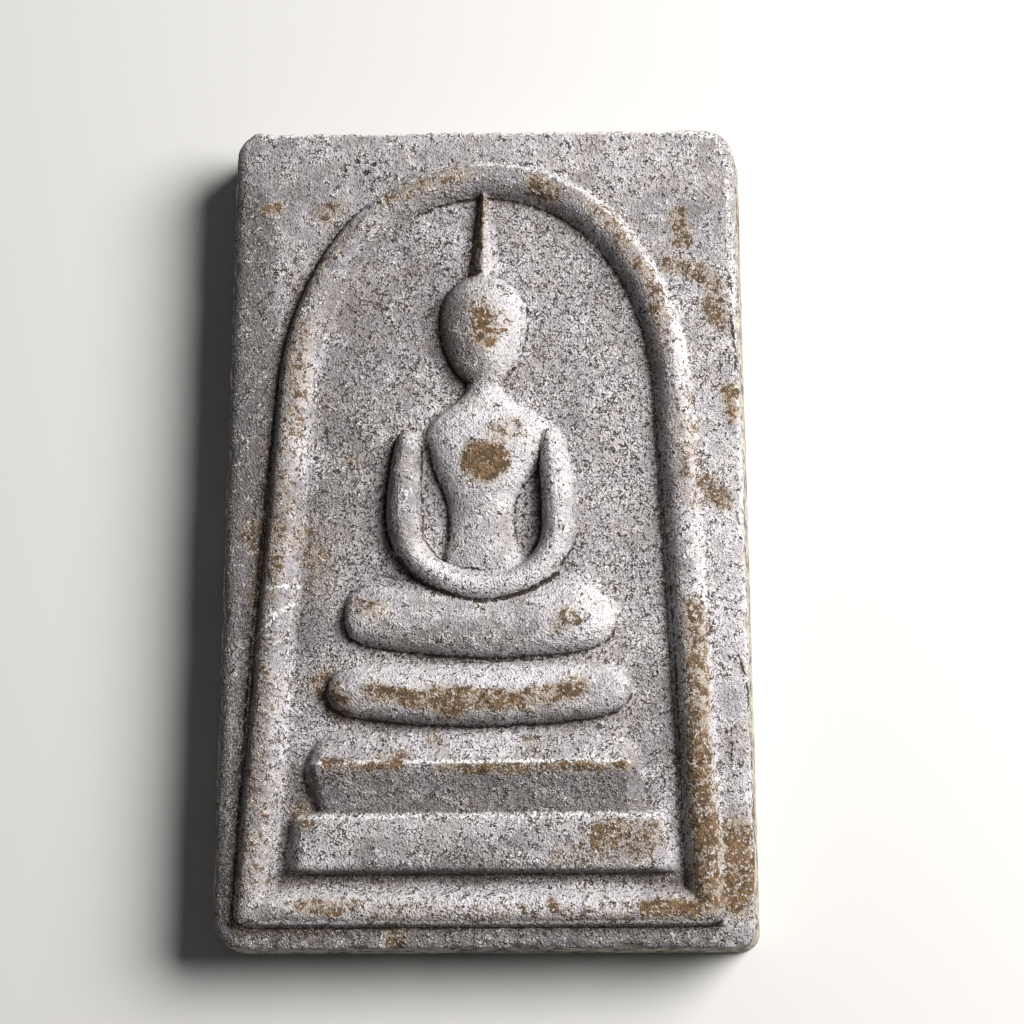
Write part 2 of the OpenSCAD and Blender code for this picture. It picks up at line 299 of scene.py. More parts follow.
# Profiles across a form from its foot side to its head side: shares of the half width
# and of the relief. Each one's root below the field is added by profile_ring().
ROUND = [(math.cos(math.radians(a)), math.sin(math.radians(a))) for a in range(180, -1, -15)]
BEAD = [
    (-1.0, 0.0), (-0.9, 0.2), (-0.7, 0.5), (-0.45, 0.78), (-0.2, 0.95), (0.1, 1.0), (0.4, 0.97),
    (0.62, 0.86), (0.8, 0.62), (0.93, 0.3), (1.0, 0.0),
]
CUSHION = [
    (-1.0, 0.0), (-0.98, 0.3), (-0.88, 0.64), (-0.66, 0.88), (-0.36, 0.985), (-0.1, 1.0),
    (0.2, 0.91), (0.6, 0.62), (0.85, 0.33), (1.0, 0.0),
]
LAP = [
    (-1.0, 0.0), (-0.97, 0.34), (-0.86, 0.66), (-0.66, 0.9), (-0.42, 1.0), (-0.15, 0.97),
    (0.12, 0.84), (0.4, 0.62), (0.7, 0.36), (0.92, 0.13), (1.0, 0.0),
]
RIDGE = [
    (-1.0, 0.0), (-0.8, 0.32), (-0.3, 0.82), (-0.05, 1.0), (0.15, 0.98), (0.55, 0.5),
    (0.9, 0.12), (1.0, 0.0),
]
PLINTH = [
    (0.0, 0.25), (0.02, 0.8), (0.07, 0.97), (0.4, 1.0), (0.76, 1.0), (0.82, 0.93), (1.0, 0.5),
]
MIDDLE = [
    (0.0, 0.48), (0.12, 0.5), (0.3, 0.66), (0.49, 0.93), (0.525, 1.0), (0.575, 1.0), (0.8, 0.6),
    (1.0, 0.2),
]
# Sections along the two lower tiers: place, as a share of half the width, and the share
# of the relief that the section keeps
TIER_SECTIONS = [
    (-1.0, 0.1), (-0.97, 0.6), (-0.925, 0.97), (0.91, 0.97), (0.955, 0.6), (1.0, 0.1),
]
# Outlines of their ends: height up, left end and right end, as shares of the tier's size
PLINTH_OUTLINE = [(0.0, 1.01, 0.99), (0.8, 0.99, 0.95), (1.0, 0.97, 0.93)]
MIDDLE_OUTLINE = [
    (0.0, 0.98, 0.96), (0.25, 1.03, 0.94), (0.5, 1.06, 0.95), (0.72, 1.05, 0.93),
    (1.0, 0.94, 0.84),
]

# How far the legs of the frame stray: height on the tablet, left leg and right leg, in mm
LEG_BOWS = [
    (-19.0, -0.42, 0.05),
    (-13.0, -0.48, 0.14),
    (-8.0, -0.47, 0.26),
    (-4.0, -0.38, 0.3),
    (0.0, -0.26, 0.2),
    (4.0, -0.14, 0.1),
    (8.0, 0.06, -0.04),
    (12.0, 0.12, -0.06),
]

# Nicks in the front edges: place across and up, radius and depth, in mm
NICKS = [
    (11.75, 9.7, 0.5, 0.17), (11.8, 8.1, 0.4, 0.12), (11.9, 5.1, 0.5, 0.12),
    (12.05, -1.4, 0.6, 0.1), (12.1, -4.6, 0.45, 0.15), (12.15, -9.4, 0.6, 0.1),
    (12.2, -13.2, 0.4, 0.1), (-11.75, 12.3, 0.5, 0.1), (-11.9, 3.5, 0.45, 0.12),
    (-12.05, -4.1, 0.5, 0.14), (-12.15, -10.2, 0.4, 0.1), (-9.4, -19.2, 0.5, 0.14),
    (-5.8, -19.25, 0.7, 0.1), (1.4, -19.3, 0.4, 0.12), (6.6, -19.3, 0.6, 0.12),
    (-8.6, 19.1, 0.45, 0.12), (-4.8, 19.1, 0.6, 0.08), (3.6, 19.0, 0.4, 0.08),
    (8.3, 18.9, 0.4, 0.1),
]


# Modelling helpers


def object_mode():
    if bpy.context.object and bpy.context.object.mode != "OBJECT":
        bpy.ops.object.mode_set(mode="OBJECT")


def only(obj):
    """Leaves obj alone selected and active, in object mode."""
    object_mode()
    bpy.ops.object.select_all(action="DESELECT")
    obj.select_set(True)
    bpy.context.view_layer.objects.active = obj


def added(name):
    """The object that the last primitive operator made, renamed."""
    obj = bpy.context.object
    obj.name = name
    obj.data.name = name
    return obj


def pick_none(obj, kind="VERT"):
    """Sets the kind that edit mode picks, with nothing picked."""
    only(obj)
    bpy.ops.object.mode_set(mode="EDIT")
    bpy.ops.mesh.select_mode(type=kind)
    bpy.ops.mesh.select_all(action="DESELECT")
    bpy.ops.object.mode_set(mode="OBJECT")


def edit_whole(obj):
    """Enters edit mode with the whole of obj selected."""
    only(obj)
    bpy.ops.object.mode_set(mode="EDIT")
    bpy.ops.mesh.select_all(action="SELECT")


def shift(obj, test, way):
    """Moves the vertices whose place passes the test."""
    pick_none(obj)
    for vertex in obj.data.vertices:
        vertex.select = test(vertex.co)
    bpy.ops.object.mode_set(mode="EDIT")
    bpy.ops.transform.translate(value=way)
    object_mode()


def bevel(obj, test, offset, segments):
    """Rounds the edges whose two ends pass the test."""
    pick_none(obj, "EDGE")
    for line in obj.data.edges:
        first, last = (obj.data.vertices[i].co for i in line.vertices)
        line.select = test(first, last)
    bpy.ops.object.mode_set(mode="EDIT")
    bpy.ops.mesh.bevel(offset=offset, segments=segments)
    object_mode()


def face(name, points):
    """A flat face with its corners at the given points."""
    bpy.ops.mesh.primitive_circle_add(vertices=len(points), radius=1, fill_type="NGON")
    obj = added(name)
    for vertex, point in zip(obj.data.vertices, points):
        vertex.co = point
    return obj


def draw_out(way):
    """Extrudes in edit mode what is picked, and leaves the new end picked."""
    bpy.ops.mesh.extrude_region_move(TRANSFORM_OT_translate={"value": way})


def apply_modifier(obj, kind, **values):
    only(obj)
    modifier = obj.modifiers.new(kind.title(), kind)
    for key, value in values.items():
        setattr(modifier, key, value)
    bpy.ops.object.modifier_apply(modifier=modifier.name)


def outward(obj):
    """Merges what lies together and points all faces outwards."""
    edit_whole(obj)
    bpy.ops.mesh.remove_doubles(threshold=0.0005)
    bpy.ops.mesh.normals_make_consistent(inside=False)
    object_mode()


def profile_ring(profile):
    """A closed ring: the profile above the field and a root below it."""
    first, last = profile[0], profile[-1]
    return list(profile) + [(last[0], -ROOT), (first[0], -ROOT)]


def loft(name, run, ring, sections, field_z, smooth):
    """Draws a closed form out along the X or the Y axis, by extruding its end face and
    then moving and scaling it. Each section is (x, y, half width, relief)."""
    x, y, half, rise = sections[0]
    if run == "X":
        start = [(x, y + across * half, field_z + up * rise) for across, up in ring]
    else:
        start = [(x + across * half, y, field_z + up * rise) for across, up in ring]
    obj = face(name, start)
    edit_whole(obj)
    for before, (x, y, half, rise) in zip(sections, sections[1:]):
        draw_out((x - before[0], y - before[1], 0))
        wider, taller = half / before[2], rise / before[3]
        scale = (1, wider, taller) if run == "X" else (wider, 1, taller)
        bpy.ops.transform.resize(value=scale, center_override=(x, y, field_z))
    outward(obj)
    if smooth:
        apply_modifier(obj, "SUBSURF", levels=smooth, render_levels=smooth)
    return obj


def placed(rows, half_width, y0, height, width, rise):
    """A table's rows at their real sizes: x, y, half width and relief."""
    return [(a * half_width, y0 + b * height, c * width / 2, d * rise) for a, b, c, d in rows]


def between(a, b, c, d, t):
    """A point between b and c on the smooth curve through a, b, c and d."""
    return 0.5 * (
        2 * b + (c - a) * t + (2 * a - 5 * b + 4 * c - d) * t**2 + (3 * b - a - 3 * c + d) * t**3
    )


def smoothed(rows, steps):
    """More rows along a smooth curve through a table's rows."""
    rows = np.array(rows, float)
    last = len(rows) - 1
    fine = []
    for i in range(last):
        ends = rows[max(0, i - 1)], rows[i], rows[i + 1], rows[min(last, i + 2)]
        fine += [between(*ends, k / steps) for k in range(steps)]
    return np.array(fine + [rows[last]])


# Places that follow from the sizes


def heading(turn):
    """A unit vector across the front, turned from the X axis."""
    return np.array([math.cos(turn), math.sin(turn)])


# Parts of a leg of the frame's middle line, and the turn of one step along its arcs
LEG_PARTS = 8
LINE_STEP = math.radians(3)
# How far from the middle the frame is free to stray in full, in mm
STRAYS_FROM = 6


class Layout:
    """Where the forms stand on the slab, each from the one that carries it."""

    def __init__(self):
        self.slab = slab = sizes("tablet_slab")
        self.frame = arch = sizes("tablet_frame")
        self.throne = throne = sizes("tablet_throne")
        self.figure = sizes("tablet_figure")
        self.field_z = slab.thickness - slab.field_depth
        self.bar_y = -slab.height / 2 + arch.foot_margin
        self.crown_y = slab.height / 2 - arch.top_margin
        self.leg_x = slab.foot_width / 2 - arch.side_margin
        self.span = self.leg_x * math.cos(arch.lean) - (
            self.crown_y - self.leg_x - self.bar_y
        ) * math.sin(arch.lean)
        self.crown_r = arch.crown * self.span
        self.haunch_r = arch.haunch * self.span
        self.plinth_y = self.bar_y + arch.width / 2 + throne.plinth_gap
        self.middle_y = self.plinth_y + throne.plinth_height
        self.cushion_y = self.middle_y + throne.middle_height + throne.cushion_gap
        self.seat_y = self.cushion_y + throne.cushion_height
        self.figure_h = self.crown_y - arch.width / 2 - self.seat_y
        self.find_arcs()

    def find_arcs(self):
        """Centres of the crown and haunch arcs and the angle where they meet."""
        out = heading(self.frame.lean)
        along = np.array([-out[1], out[0]])
        self.foot = np.array([self.leg_x, self.bar_y])
        self.crown_c = np.array([0.0, self.crown_y - self.crown_r])
        side = out @ (self.foot - self.crown_c) - self.haunch_r
        drop = math.sqrt((self.haunch_r - self.crown_r) ** 2 - side**2)
        self.haunch_c = self.crown_c + side * out - drop * along
        self.leg_top = self.haunch_c + self.haunch_r * out
        to_crown = self.crown_c - self.haunch_c
        self.meet = math.atan2(to_crown[1], to_crown[0])

    def strayed(self, x, y):
        """Where a point of the frame stands across, after its legs have strayed."""
        up, left, right = np.array(LEG_BOWS).T
        free = np.clip(np.abs(x) / STRAYS_FROM, 0, 1)
        return x + free * np.where(x < 0, np.interp(y, up, left), np.interp(y, up, right))

    def half_arch(self):
        """The frame's middle line from the right foot to the crown."""
        leg = self.leg_top - self.foot
        points = [self.foot + leg * k / LEG_PARTS for k in range(LEG_PARTS)]
        arcs = (
            (self.haunch_c, self.haunch_r, self.frame.lean, self.meet),
            (self.crown_c, self.crown_r, self.meet, math.pi / 2),
        )
        for centre, radius, start, end in arcs:
            count = math.ceil((end - start) / LINE_STEP)
            for k in range(count + 1):
                points.append(centre + radius * heading(start + (end - start) * k / count))
        return np.array(points)

    def arch(self):
        """The whole open middle line, from the right foot over the crown to the left."""
        half = self.half_arch()
        line = np.vstack([half, half[-2::-1] * [-1, 1]])
        line[:, 0] = self.strayed(line[:, 0], line[:, 1])
        return line

    def arms(self):
        """Middle line, half width and relief of the arms."""
        f = self.figure
        reach = f.arms_width - f.arm_width
        return self.seated(smoothed(ARMS_ROWS, 5), reach, f.arm_width, f.arm_rise)

    def cushion(self):
        t = self.throne
        high = t.cushion_height
        half = t.cushion_width / 2
        return placed(CUSHION_ROWS, half, self.cushion_y, high, high, t.cushion_rise)

    def seated(self, rows, spread, width, rise):
        """A table's rows as one form of the figure, which sits on the cushion."""
        return placed(rows, spread / 2, self.seat_y, self.figure_h, width, rise)

    def lap(self):
        f = self.figure
        return self.seated(LAP_ROWS, f.lap_width, self.figure_h, f.lap_rise)

    def torso(self):
        f = self.figure
        return self.seated(TORSO_ROWS, f.shoulder_width, f.shoulder_width, f.chest_rise)

    def head(self):
        f = self.figure
        return self.seated(HEAD_ROWS, f.head_width, f.head_width, f.head_rise)

    def topknot(self):
        f = self.figure
        return self.seated(TOPKNOT_ROWS, f.head_width, f.topknot_width, f.topknot_rise)


# Operators for the forms


# How close counts as there, in mm, when edges are picked by their place
NEARLY = 0.01
# Side, end and share of the usual radius that each corner of the slab is worn to
CORNERS = ((-1, 1, 0.9), (1, 1, 1.15), (1, -1, 0.8), (-1, -1, 1.3))


def at_corner(side, end, tall):
    """A test for the upright edge that stands at one corner."""

    def upright(first, last):
        standing = abs(first.z - last.z) > tall
        return standing and first.x * side > 0 and first.y * end > 0

    return upright


class AddSlab(bpy.types.Operator):
    """Model the slab with its sunk field"""

    bl_idname = "tablet.add_slab"
    bl_label = "Slab"

    def execute(self, context):
        layout = Layout()
        slab = layout.slab
        top = slab.thickness
        bpy.ops.mesh.primitive_cube_add(size=1, location=(0, 0, 0))
        obj = added("form_slab")
        for vertex in obj.data.vertices:
            width = slab.top_width if vertex.co.y > 0 else slab.foot_width
            vertex.co.x *= width
            vertex.co.y *= slab.height
            vertex.co.z = (vertex.co.z + 0.5) * top
        # Which corners of the front lean in, and how far
        leans = (
            (lambda co: co.x < 0, (slab.left_lean, 0, 0)),
            (lambda co: co.x > 0, (-slab.lean, 0, 0)),
            (lambda co: co.y > 0, (0, -slab.lean / 2, 0)),
            (lambda co: co.y > 0 and co.x > 0, (0, -slab.top_fall, 0)),
        )
        for leaning, way in leans:
            shift(obj, lambda co: co.z > top / 2 and leaning(co), way)
        for side, end, radius in CORNERS:
            bevel(obj, at_corner(side, end, top / 2), radius * slab.corner, 7)
        foot_line = NEARLY - slab.height / 2

        def on_front(first, last, at_foot):
            high = min(first.z, last.z) > top - NEARLY
            return high and (max(first.y, last.y) < foot_line) == at_foot

        bevel(obj, lambda a, b: on_front(a, b, False), slab.front_edge, 4)
        bevel(obj, lambda a, b: on_front(a, b, True), slab.foot_edge, 2)
        outward(obj)
        self.sink_field(obj, layout)
        return {"FINISHED"}

    def sink_field(self, obj, layout):
        """Cuts the field inside the frame a little below the margins."""
        cutter = face("field_cutter", [(x, y, layout.field_z) for x, y in layout.arch()])
        edit_whole(cutter)
        draw_out((0, 0, 1))
        outward(cutter)
        apply_modifier(obj, "BOOLEAN", operation="DIFFERENCE", object=cutter, solver="EXACT")
        bpy.data.objects.remove(cutter)


# How far the frame's leg and bar run on, in mm, before they are cut on the mitre
PAST_MITRE = 1.6
# Turn of one step along the frame's arcs
ARC_STEP = math.radians(5)


class AddFrame(bpy.types.Operator):
    """Model the arched frame and its bottom bar"""

    bl_idname = "tablet.add_frame"
    bl_label = "Arched frame"

    def execute(self, context):
        layout = Layout()
        lean, z = layout.frame.lean, layout.field_z
        down = Vector((math.sin(lean), -math.cos(lean), 0))
        start = Vector((*layout.foot, z)) + PAST_MITRE * down
        arch = self.section("form_arch", layout, lean, start)
        edit_whole(arch)
        draw_out(Vector((*layout.leg_top, z)) - start)
        arcs = (
            (layout.haunch_c, layout.meet - lean),
            (layout.crown_c, math.pi / 2 - layout.meet),
        )
        for centre, turn in arcs:
            bpy.ops.mesh.spin(
                steps=math.ceil(turn / ARC_STEP),
                angle=turn,
                center=(*centre, z),
                axis=(0, 0, -1),
            )
        self.finish(arch, layout, keep_up=True)

        bar = self.section("form_bar", layout, -math.pi / 2, Vector((0, layout.bar_y, z)))
        edit_whole(bar)
        draw_out((layout.leg_x + PAST_MITRE, 0, 0))
        self.finish(bar, layout, keep_up=False)
        for form in (arch, bar):
            for vertex in form.data.vertices:
                vertex.co.x = layout.strayed(vertex.co.x, vertex.co.y)
        return {"FINISHED"}

    def section(self, name, layout, angle, centre):
        """The bead's cross-section, standing across the way the bead runs."""
        bead = layout.frame
        turn = Matrix.Rotation(angle, 4, "Z")
        flat = [(a * bead.width / 2, 0, up * bead.rise) for a, up in profile_ring(BEAD)]
        return face(name, [centre + turn @ Vector(point) for point in flat])

    def finish(self, obj, layout, keep_up):
        """Cuts the foot on the mitre and mirrors the half."""
        outward(obj)
        lean = layout.frame.lean
        leg_way = Vector((-math.sin(lean), math.cos(lean), 0))
        mitre_way = (leg_way + Vector((-1, 0, 0))).normalized()
        normal = Vector((mitre_way.y, -mitre_way.x, 0))
        edit_whole(obj)
        bpy.ops.mesh.bisect(
            plane_co=(*layout.foot, layout.field_z),
            plane_no=normal if keep_up else -normal,
            use_fill=True,
            clear_inner=True,
        )
        object_mode()
        apply_modifier(obj, "MIRROR", use_clip=True)
        outward(obj)


class AddThrone(bpy.types.Operator):
    """Model the plinth, the middle tier and the cushion"""

    bl_idname = "tablet.add_throne"
    bl_label = "Throne"

    def execute(self, context):
        layout = Layout()
        t, z = layout.throne, layout.field_z
        tiers = (
            ("form_plinth", PLINTH, PLINTH_OUTLINE, t.plinth_width, layout.plinth_y,
             t.plinth_height, t.plinth_rise),
            ("form_middle", MIDDLE, MIDDLE_OUTLINE, t.middle_width, layout.middle_y,
             t.middle_height, t.middle_rise),
        )
        for name, profile, outline, width, y0, height, rise in tiers:
            ring = [(up * height, out) for up, out in profile_ring(profile)]
            sections = [(a * width / 2, y0, 1.0, b * rise) for a, b in TIER_SECTIONS]
            tier = loft(name, "X", ring, sections, z, 0)
            self.shape_ends(tier, outline, y0, height)
        loft("form_cushion", "X", profile_ring(CUSHION), layout.cushion(), z, 2)
        return {"FINISHED"}

    def shape_ends(self, tier, outline, y0, height):
        """Draws each level of a tier's ends in or out to its outline."""
        up, left, right = np.array(outline).T
        for vertex in tier.data.vertices:
            level = (vertex.co.y - y0) / height
            vertex.co.x *= np.interp(level, up, left if vertex.co.x < 0 else right)


class AddFigure(bpy.types.Operator):
    """Model the seated figure"""

    bl_idname = "tablet.add_figure"
    bl_label = "Figure"

    def execute(self, context):
        layout = Layout()
        z = layout.field_z
        ring = profile_ring(ROUND)
        loft("form_lap", "X", profile_ring(LAP), layout.lap(), z, 2)
        loft("form_torso", "Y", ring, layout.torso(), z, 2)
        loft("form_head", "Y", ring, layout.head(), z, 2)
        loft("form_topknot", "Y", profile_ring(RIDGE), layout.topknot(), z, 1)
        self.add_arms(layout)
        return {"FINISHED"}

    def add_arms(self, layout):
        """Bends a tapering tube through the hands and flattens it to the arms' relief."""
        bpy.ops.curve.primitive_nurbs_path_add()
        arms = added("form_arms")
        line = arms.data
        line.splines.clear()
        rows = layout.arms()
        spline = line.splines.new("POLY")
        spline.points.add(len(rows) - 1)
        widest = max(row[2] for row in rows)
        for point, (x, y, half, rise) in zip(spline.points, rows):
            point.co = (x, y, layout.field_z, 1)
            point.radius = half / widest
        line.bevel_depth = widest
        line.bevel_resolution = 5
        line.use_fill_caps = True
        only(arms)
        bpy.ops.object.convert(target="MESH")
        flatter = layout.figure.arm_rise / (layout.figure.arm_width / 2)
        edit_whole(bpy.context.object)
        bpy.ops.transform.resize(value=(1, 1, flatter), center_override=(0, 0, layout.field_z))
        object_mode()
        outward(bpy.context.object)


# The soft light's place and width and the floor's width, in metres
KEY_PLACE = (0.135, 0.05, 0.14)
KEY_WIDTH = 0.14
FLOOR_WIDTH = 3
KEY_COLOUR = (1, 0.985, 0.96)
ROOM_COLOUR = (0.93, 0.95, 1, 1)
# The camera's place, in mm, and the ways of its right, up and back
EYE = (8.516, -27.989, 138.424)
CAMERA_AXES = (
    (0.99857, 0, -0.05351),
    (0.01113, 0.97815, 0.20761),
    (0.05234, -0.20791, 0.97675),
)


class AddStage(bpy.types.Operator):
    """Lay the floor and set the lights and the camera"""

    bl_idname = "tablet.add_stage"
    bl_label = "Stage"

    def execute(self, context):
        stage = context.scene.tablet_stage
        object_mode()
        bpy.ops.object.select_all(action="DESELECT")
        bpy.ops.mesh.primitive_plane_add(size=FLOOR_WIDTH)
        floor = added("floor")
        material = bpy.data.materials.new("pale_floor")
        material.use_nodes = True
        shader = material.node_tree.nodes["Principled BSDF"]
        shader.inputs["Base Color"].default_value = (*stage.floor, 1)
        shader.inputs["Roughness"].default_value = 0.85
        shader.inputs["Specular IOR Level"].default_value = 0.2
        floor.data.materials.append(material)

        world = bpy.data.worlds.new("soft_room")
        world.use_nodes = True
        background = world.node_tree.nodes["Background"]
        background.inputs["Color"].default_value = ROOM_COLOUR
        background.inputs["Strength"].default_value = stage.fill
        context.scene.world = world

        key_at = Vector(KEY_PLACE)
        bpy.ops.object.light_add(type="AREA", location=key_at)
        key = bpy.context.object
        key.name = "soft_key"
        key.data.energy = stage.key
        key.data.shape = "DISK"
        key.data.size = KEY_WIDTH
        key.data.color = KEY_COLOUR
        key.rotation_euler = key_at.to_track_quat("Z", "Y").to_euler()

        camera_data = bpy.data.cameras.new("photo_camera")
        camera_data.lens = stage.lens
        camera_data.sensor_width = 36
        camera_data.clip_start = 0.01
        camera_data.clip_end = 10
        camera = bpy.data.objects.new("photo_camera", camera_data)
        context.scene.collection.objects.link(camera)
        turn = Matrix(CAMERA_AXES).transposed().to_4x4()
        camera.matrix_world = Matrix.Translation(Vector(EYE) * MM) @ turn
        context.scene.camera = camera
        context.scene.view_settings.view_transform = "Standard"
        return {"FINISHED"}


# Width of the rim that chips off, and how far out the nicks of the long sides lie, in mm
RIM = 0.55
LONG_SIDES = 11
# Cloud patterns pushed into the skin: name, size in mm, the setting for its strength and
# how many times that, where, its middle, its depth, its contrast and its brightness
CLOUDS = [
    ("waves", 3.2, "unevenness", 1, "face", 0.5, 1, 1.0, 1.0),
    ("lumps", 0.7, "lumps", 1, "face", 0.5, 2, 1.0, 1.0),
    ("chips", 1.9, "chips", 1, "rim", 1.0, 2, 3.0, 1.5),
    ("nicks", 0.5, "chips", 0.7, "rim", 1.0, 2, 3.5, 1.75),
    ("grit", 0.22, "grit", 1, "face", 0.5, 1, 1.0, 1.0),
]


class PressTablet(bpy.types.Operator):
    """Press the forms into one worn skin and finish it"""

    bl_idname = "tablet.press"
    bl_label = "Press and finish"

    def execute(self, context):
        layout = Layout()
        surface = sizes("tablet_surface")
        obj = self.fuse(surface)
        self.wear(obj, layout, surface)
        self.thin(obj, surface)
        only(obj)
        bpy.ops.object.shade_smooth()
        mark_surface(obj, layout)
        obj.data.transform(Matrix.Scale(MM, 4))
        obj.data.materials.clear()
        obj.data.materials.append(clay_material())
        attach(obj, "root")
        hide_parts(NODE)
        return {"FINISHED"}

    def fuse(self, surface):
        """Joins the forms and remeshes them into one skin."""
        forms = [o for o in bpy.data.objects if o.name.startswith("form_")]
        only(forms[0])
        for form in forms:
            form.select_set(True)
        bpy.ops.object.join()
        obj = added(PIECE)
        apply_modifier(obj, "REMESH", mode="VOXEL", voxel_size=surface.voxel)
        apply_modifier(obj, "SMOOTH", factor=0.5, iterations=2)
        return obj

    def wear(self, obj, layout, surface):
        """Waves, lumps, grit and chips, pushed into the skin."""
        slab = layout.slab
        place = vertex_places(obj)
        group(obj, "face", rising(place, 0.3, 1.2))
        edge = outline_distance(place, slab)
        group(obj, "rim", np.clip(1 - edge / RIM, 0, 1) * rising(place, 1.0, 2.0))
        slope_margins(obj, place, slab)
        for name, size, setting, times, *rest in CLOUDS:
            displace(obj, name, size, times * getattr(surface, setting), *rest)
        place = vertex_places(obj)
        high_up = rising(place, 2.4, 1.4)
        for x, y, radius, depth in NICKS:
            away = np.hypot(place[:, 0] - x, place[:, 1] - y)
            near = high_up * np.clip(1 - away / radius, 0, 1)
            across = 0 if abs(x) > LONG_SIDES else 1
            place[:, across] -= math.copysign(depth, (x, y)[across]) * near
            place[:, 2] -= 0.5 * depth * near
        low, high = (np.array(corner) / MM for corner in CAD_BOX)
        place = np.clip(place, low, high)
        set_places(obj, place)

    def thin(self, obj, surface):
        """Brings the skin under its number of triangles."""
        obj.data.calc_loop_triangles()
        count = len(obj.data.loop_triangles)
        apply_modifier(obj, "DECIMATE", ratio=min(1.0, surface.triangles / count))


# Mesh measures

# A distance, in mm, past every mark
FAR = 99.0


def vertex_rows(obj, name):
    """The places ("co") or the normals ("normal") of a mesh's points, one row each."""
    flat = np.empty(len(obj.data.vertices) * 3)
    obj.data.vertices.foreach_get(name, flat)
    return flat.reshape(-1, 3)


def vertex_places(obj):
    return vertex_rows(obj, "co")


def set_places(obj, place):
    obj.data.vertices.foreach_set("co", place.ravel())
    obj.data.update()


def rising(place, start, over):
    """Nought up to a height in mm, and from there evenly to one over a span."""
    return np.clip((place[:, 2] - start) / over, 0, 1)


def group(obj, name, weights):
    """A vertex group with the given weights, in steps of one part in twenty."""
    found = obj.vertex_groups.new(name=name)
    level = np.round(weights * 20).astype(int)
    for step in range(1, 21):
        members = np.nonzero(level == step)[0]
        if len(members):
            found.add(members.tolist(), step / 20, "REPLACE")


def displace(obj, name, size, strength, weights, middle, depth, contrast, bright):
    """Pushes the skin along its normals by a cloud pattern."""
    texture = bpy.data.textures.new(name, "CLOUDS")
    texture.noise_scale = size
    texture.contrast = contrast
    texture.intensity = bright
    texture.noise_depth = depth
    texture.noise_basis = "ORIGINAL_PERLIN"
    apply_modifier(
        obj,
        "DISPLACE",
        texture=texture,
        texture_coords="LOCAL",
        strength=strength,
        mid_level=middle,
        vertex_group=weights,
    )
    bpy.data.textures.remove(texture)


def half_width(place, slab):
    """Half the slab's width at the height of each point."""
    up = place[:, 1] / slab.height + 0.5
    return (slab.foot_width + (slab.top_width - slab.foot_width) * up) / 2


def slope_margins(obj, place, slab):
    """Lets the margins fall away a little towards the edges, most at the left."""
    half = half_width(place, slab)
    # How far each point lies from a side, then the width of the slope and its fall
    sides = (
        (half + place[:, 0], 1.7, 0.2),
        (half + place[:, 0], slab.left_edge + 0.4, 0.3),
        (half - place[:, 0], 1.2, 0.12),
        (slab.height / 2 + place[:, 1], 1.0, 0.22),
        (slab.height / 2 - place[:, 1], 1.2, 0.12),
    )
    front = rising(place, 2.5, 1.5)
    moved = place.copy()
    for away, reach, drop in sides:
        moved[:, 2] -= front * drop * np.clip(1 - away / reach, 0, 1) ** 1.5
    set_places(obj, moved)


def outline_distance(place, slab):
    """How far inside the slab's long and short sides each point is."""
    across = half_width(place, slab) - np.abs(place[:, 0])
    return np.minimum(across, slab.height / 2 - np.abs(place[:, 1]))


def line_distance(place, line):
    """Distance of each point from a broken line, seen from the front."""
    best = np.full(len(place), FAR)
    spot = place[:, :2]
    for a, b in zip(line[:-1], line[1:]):
        a, b = np.asarray(a, float)[:2], np.asarray(b, float)[:2]
        way = b - a
        t = np.clip((spot - a) @ way / max(way @ way, 1e-9), 0, 1)
        best = np.minimum(best, np.hypot(*(spot - a - t[:, None] * way).T))
    return best


def inside(place, polygon):
    """Which points lie inside a closed outline, seen from the front."""
    x, y = place[:, 0], place[:, 1]
    within = np.zeros(len(place), bool)
    for (ax, ay), (bx, by) in zip(polygon, np.roll(polygon, -1, axis=0)):
        crosses = (ay > y) != (by > y)
        if ay != by:
            within ^= crosses & (x < (bx - ax) * (y - ay) / (by - ay) + ax)
    return within


def store(obj, name, values):
    attribute = obj.data.attributes.new(name, "FLOAT", "POINT")
    attribute.data.foreach_set("value", np.asarray(values, np.float32))


# Marks that the material reads from the skin

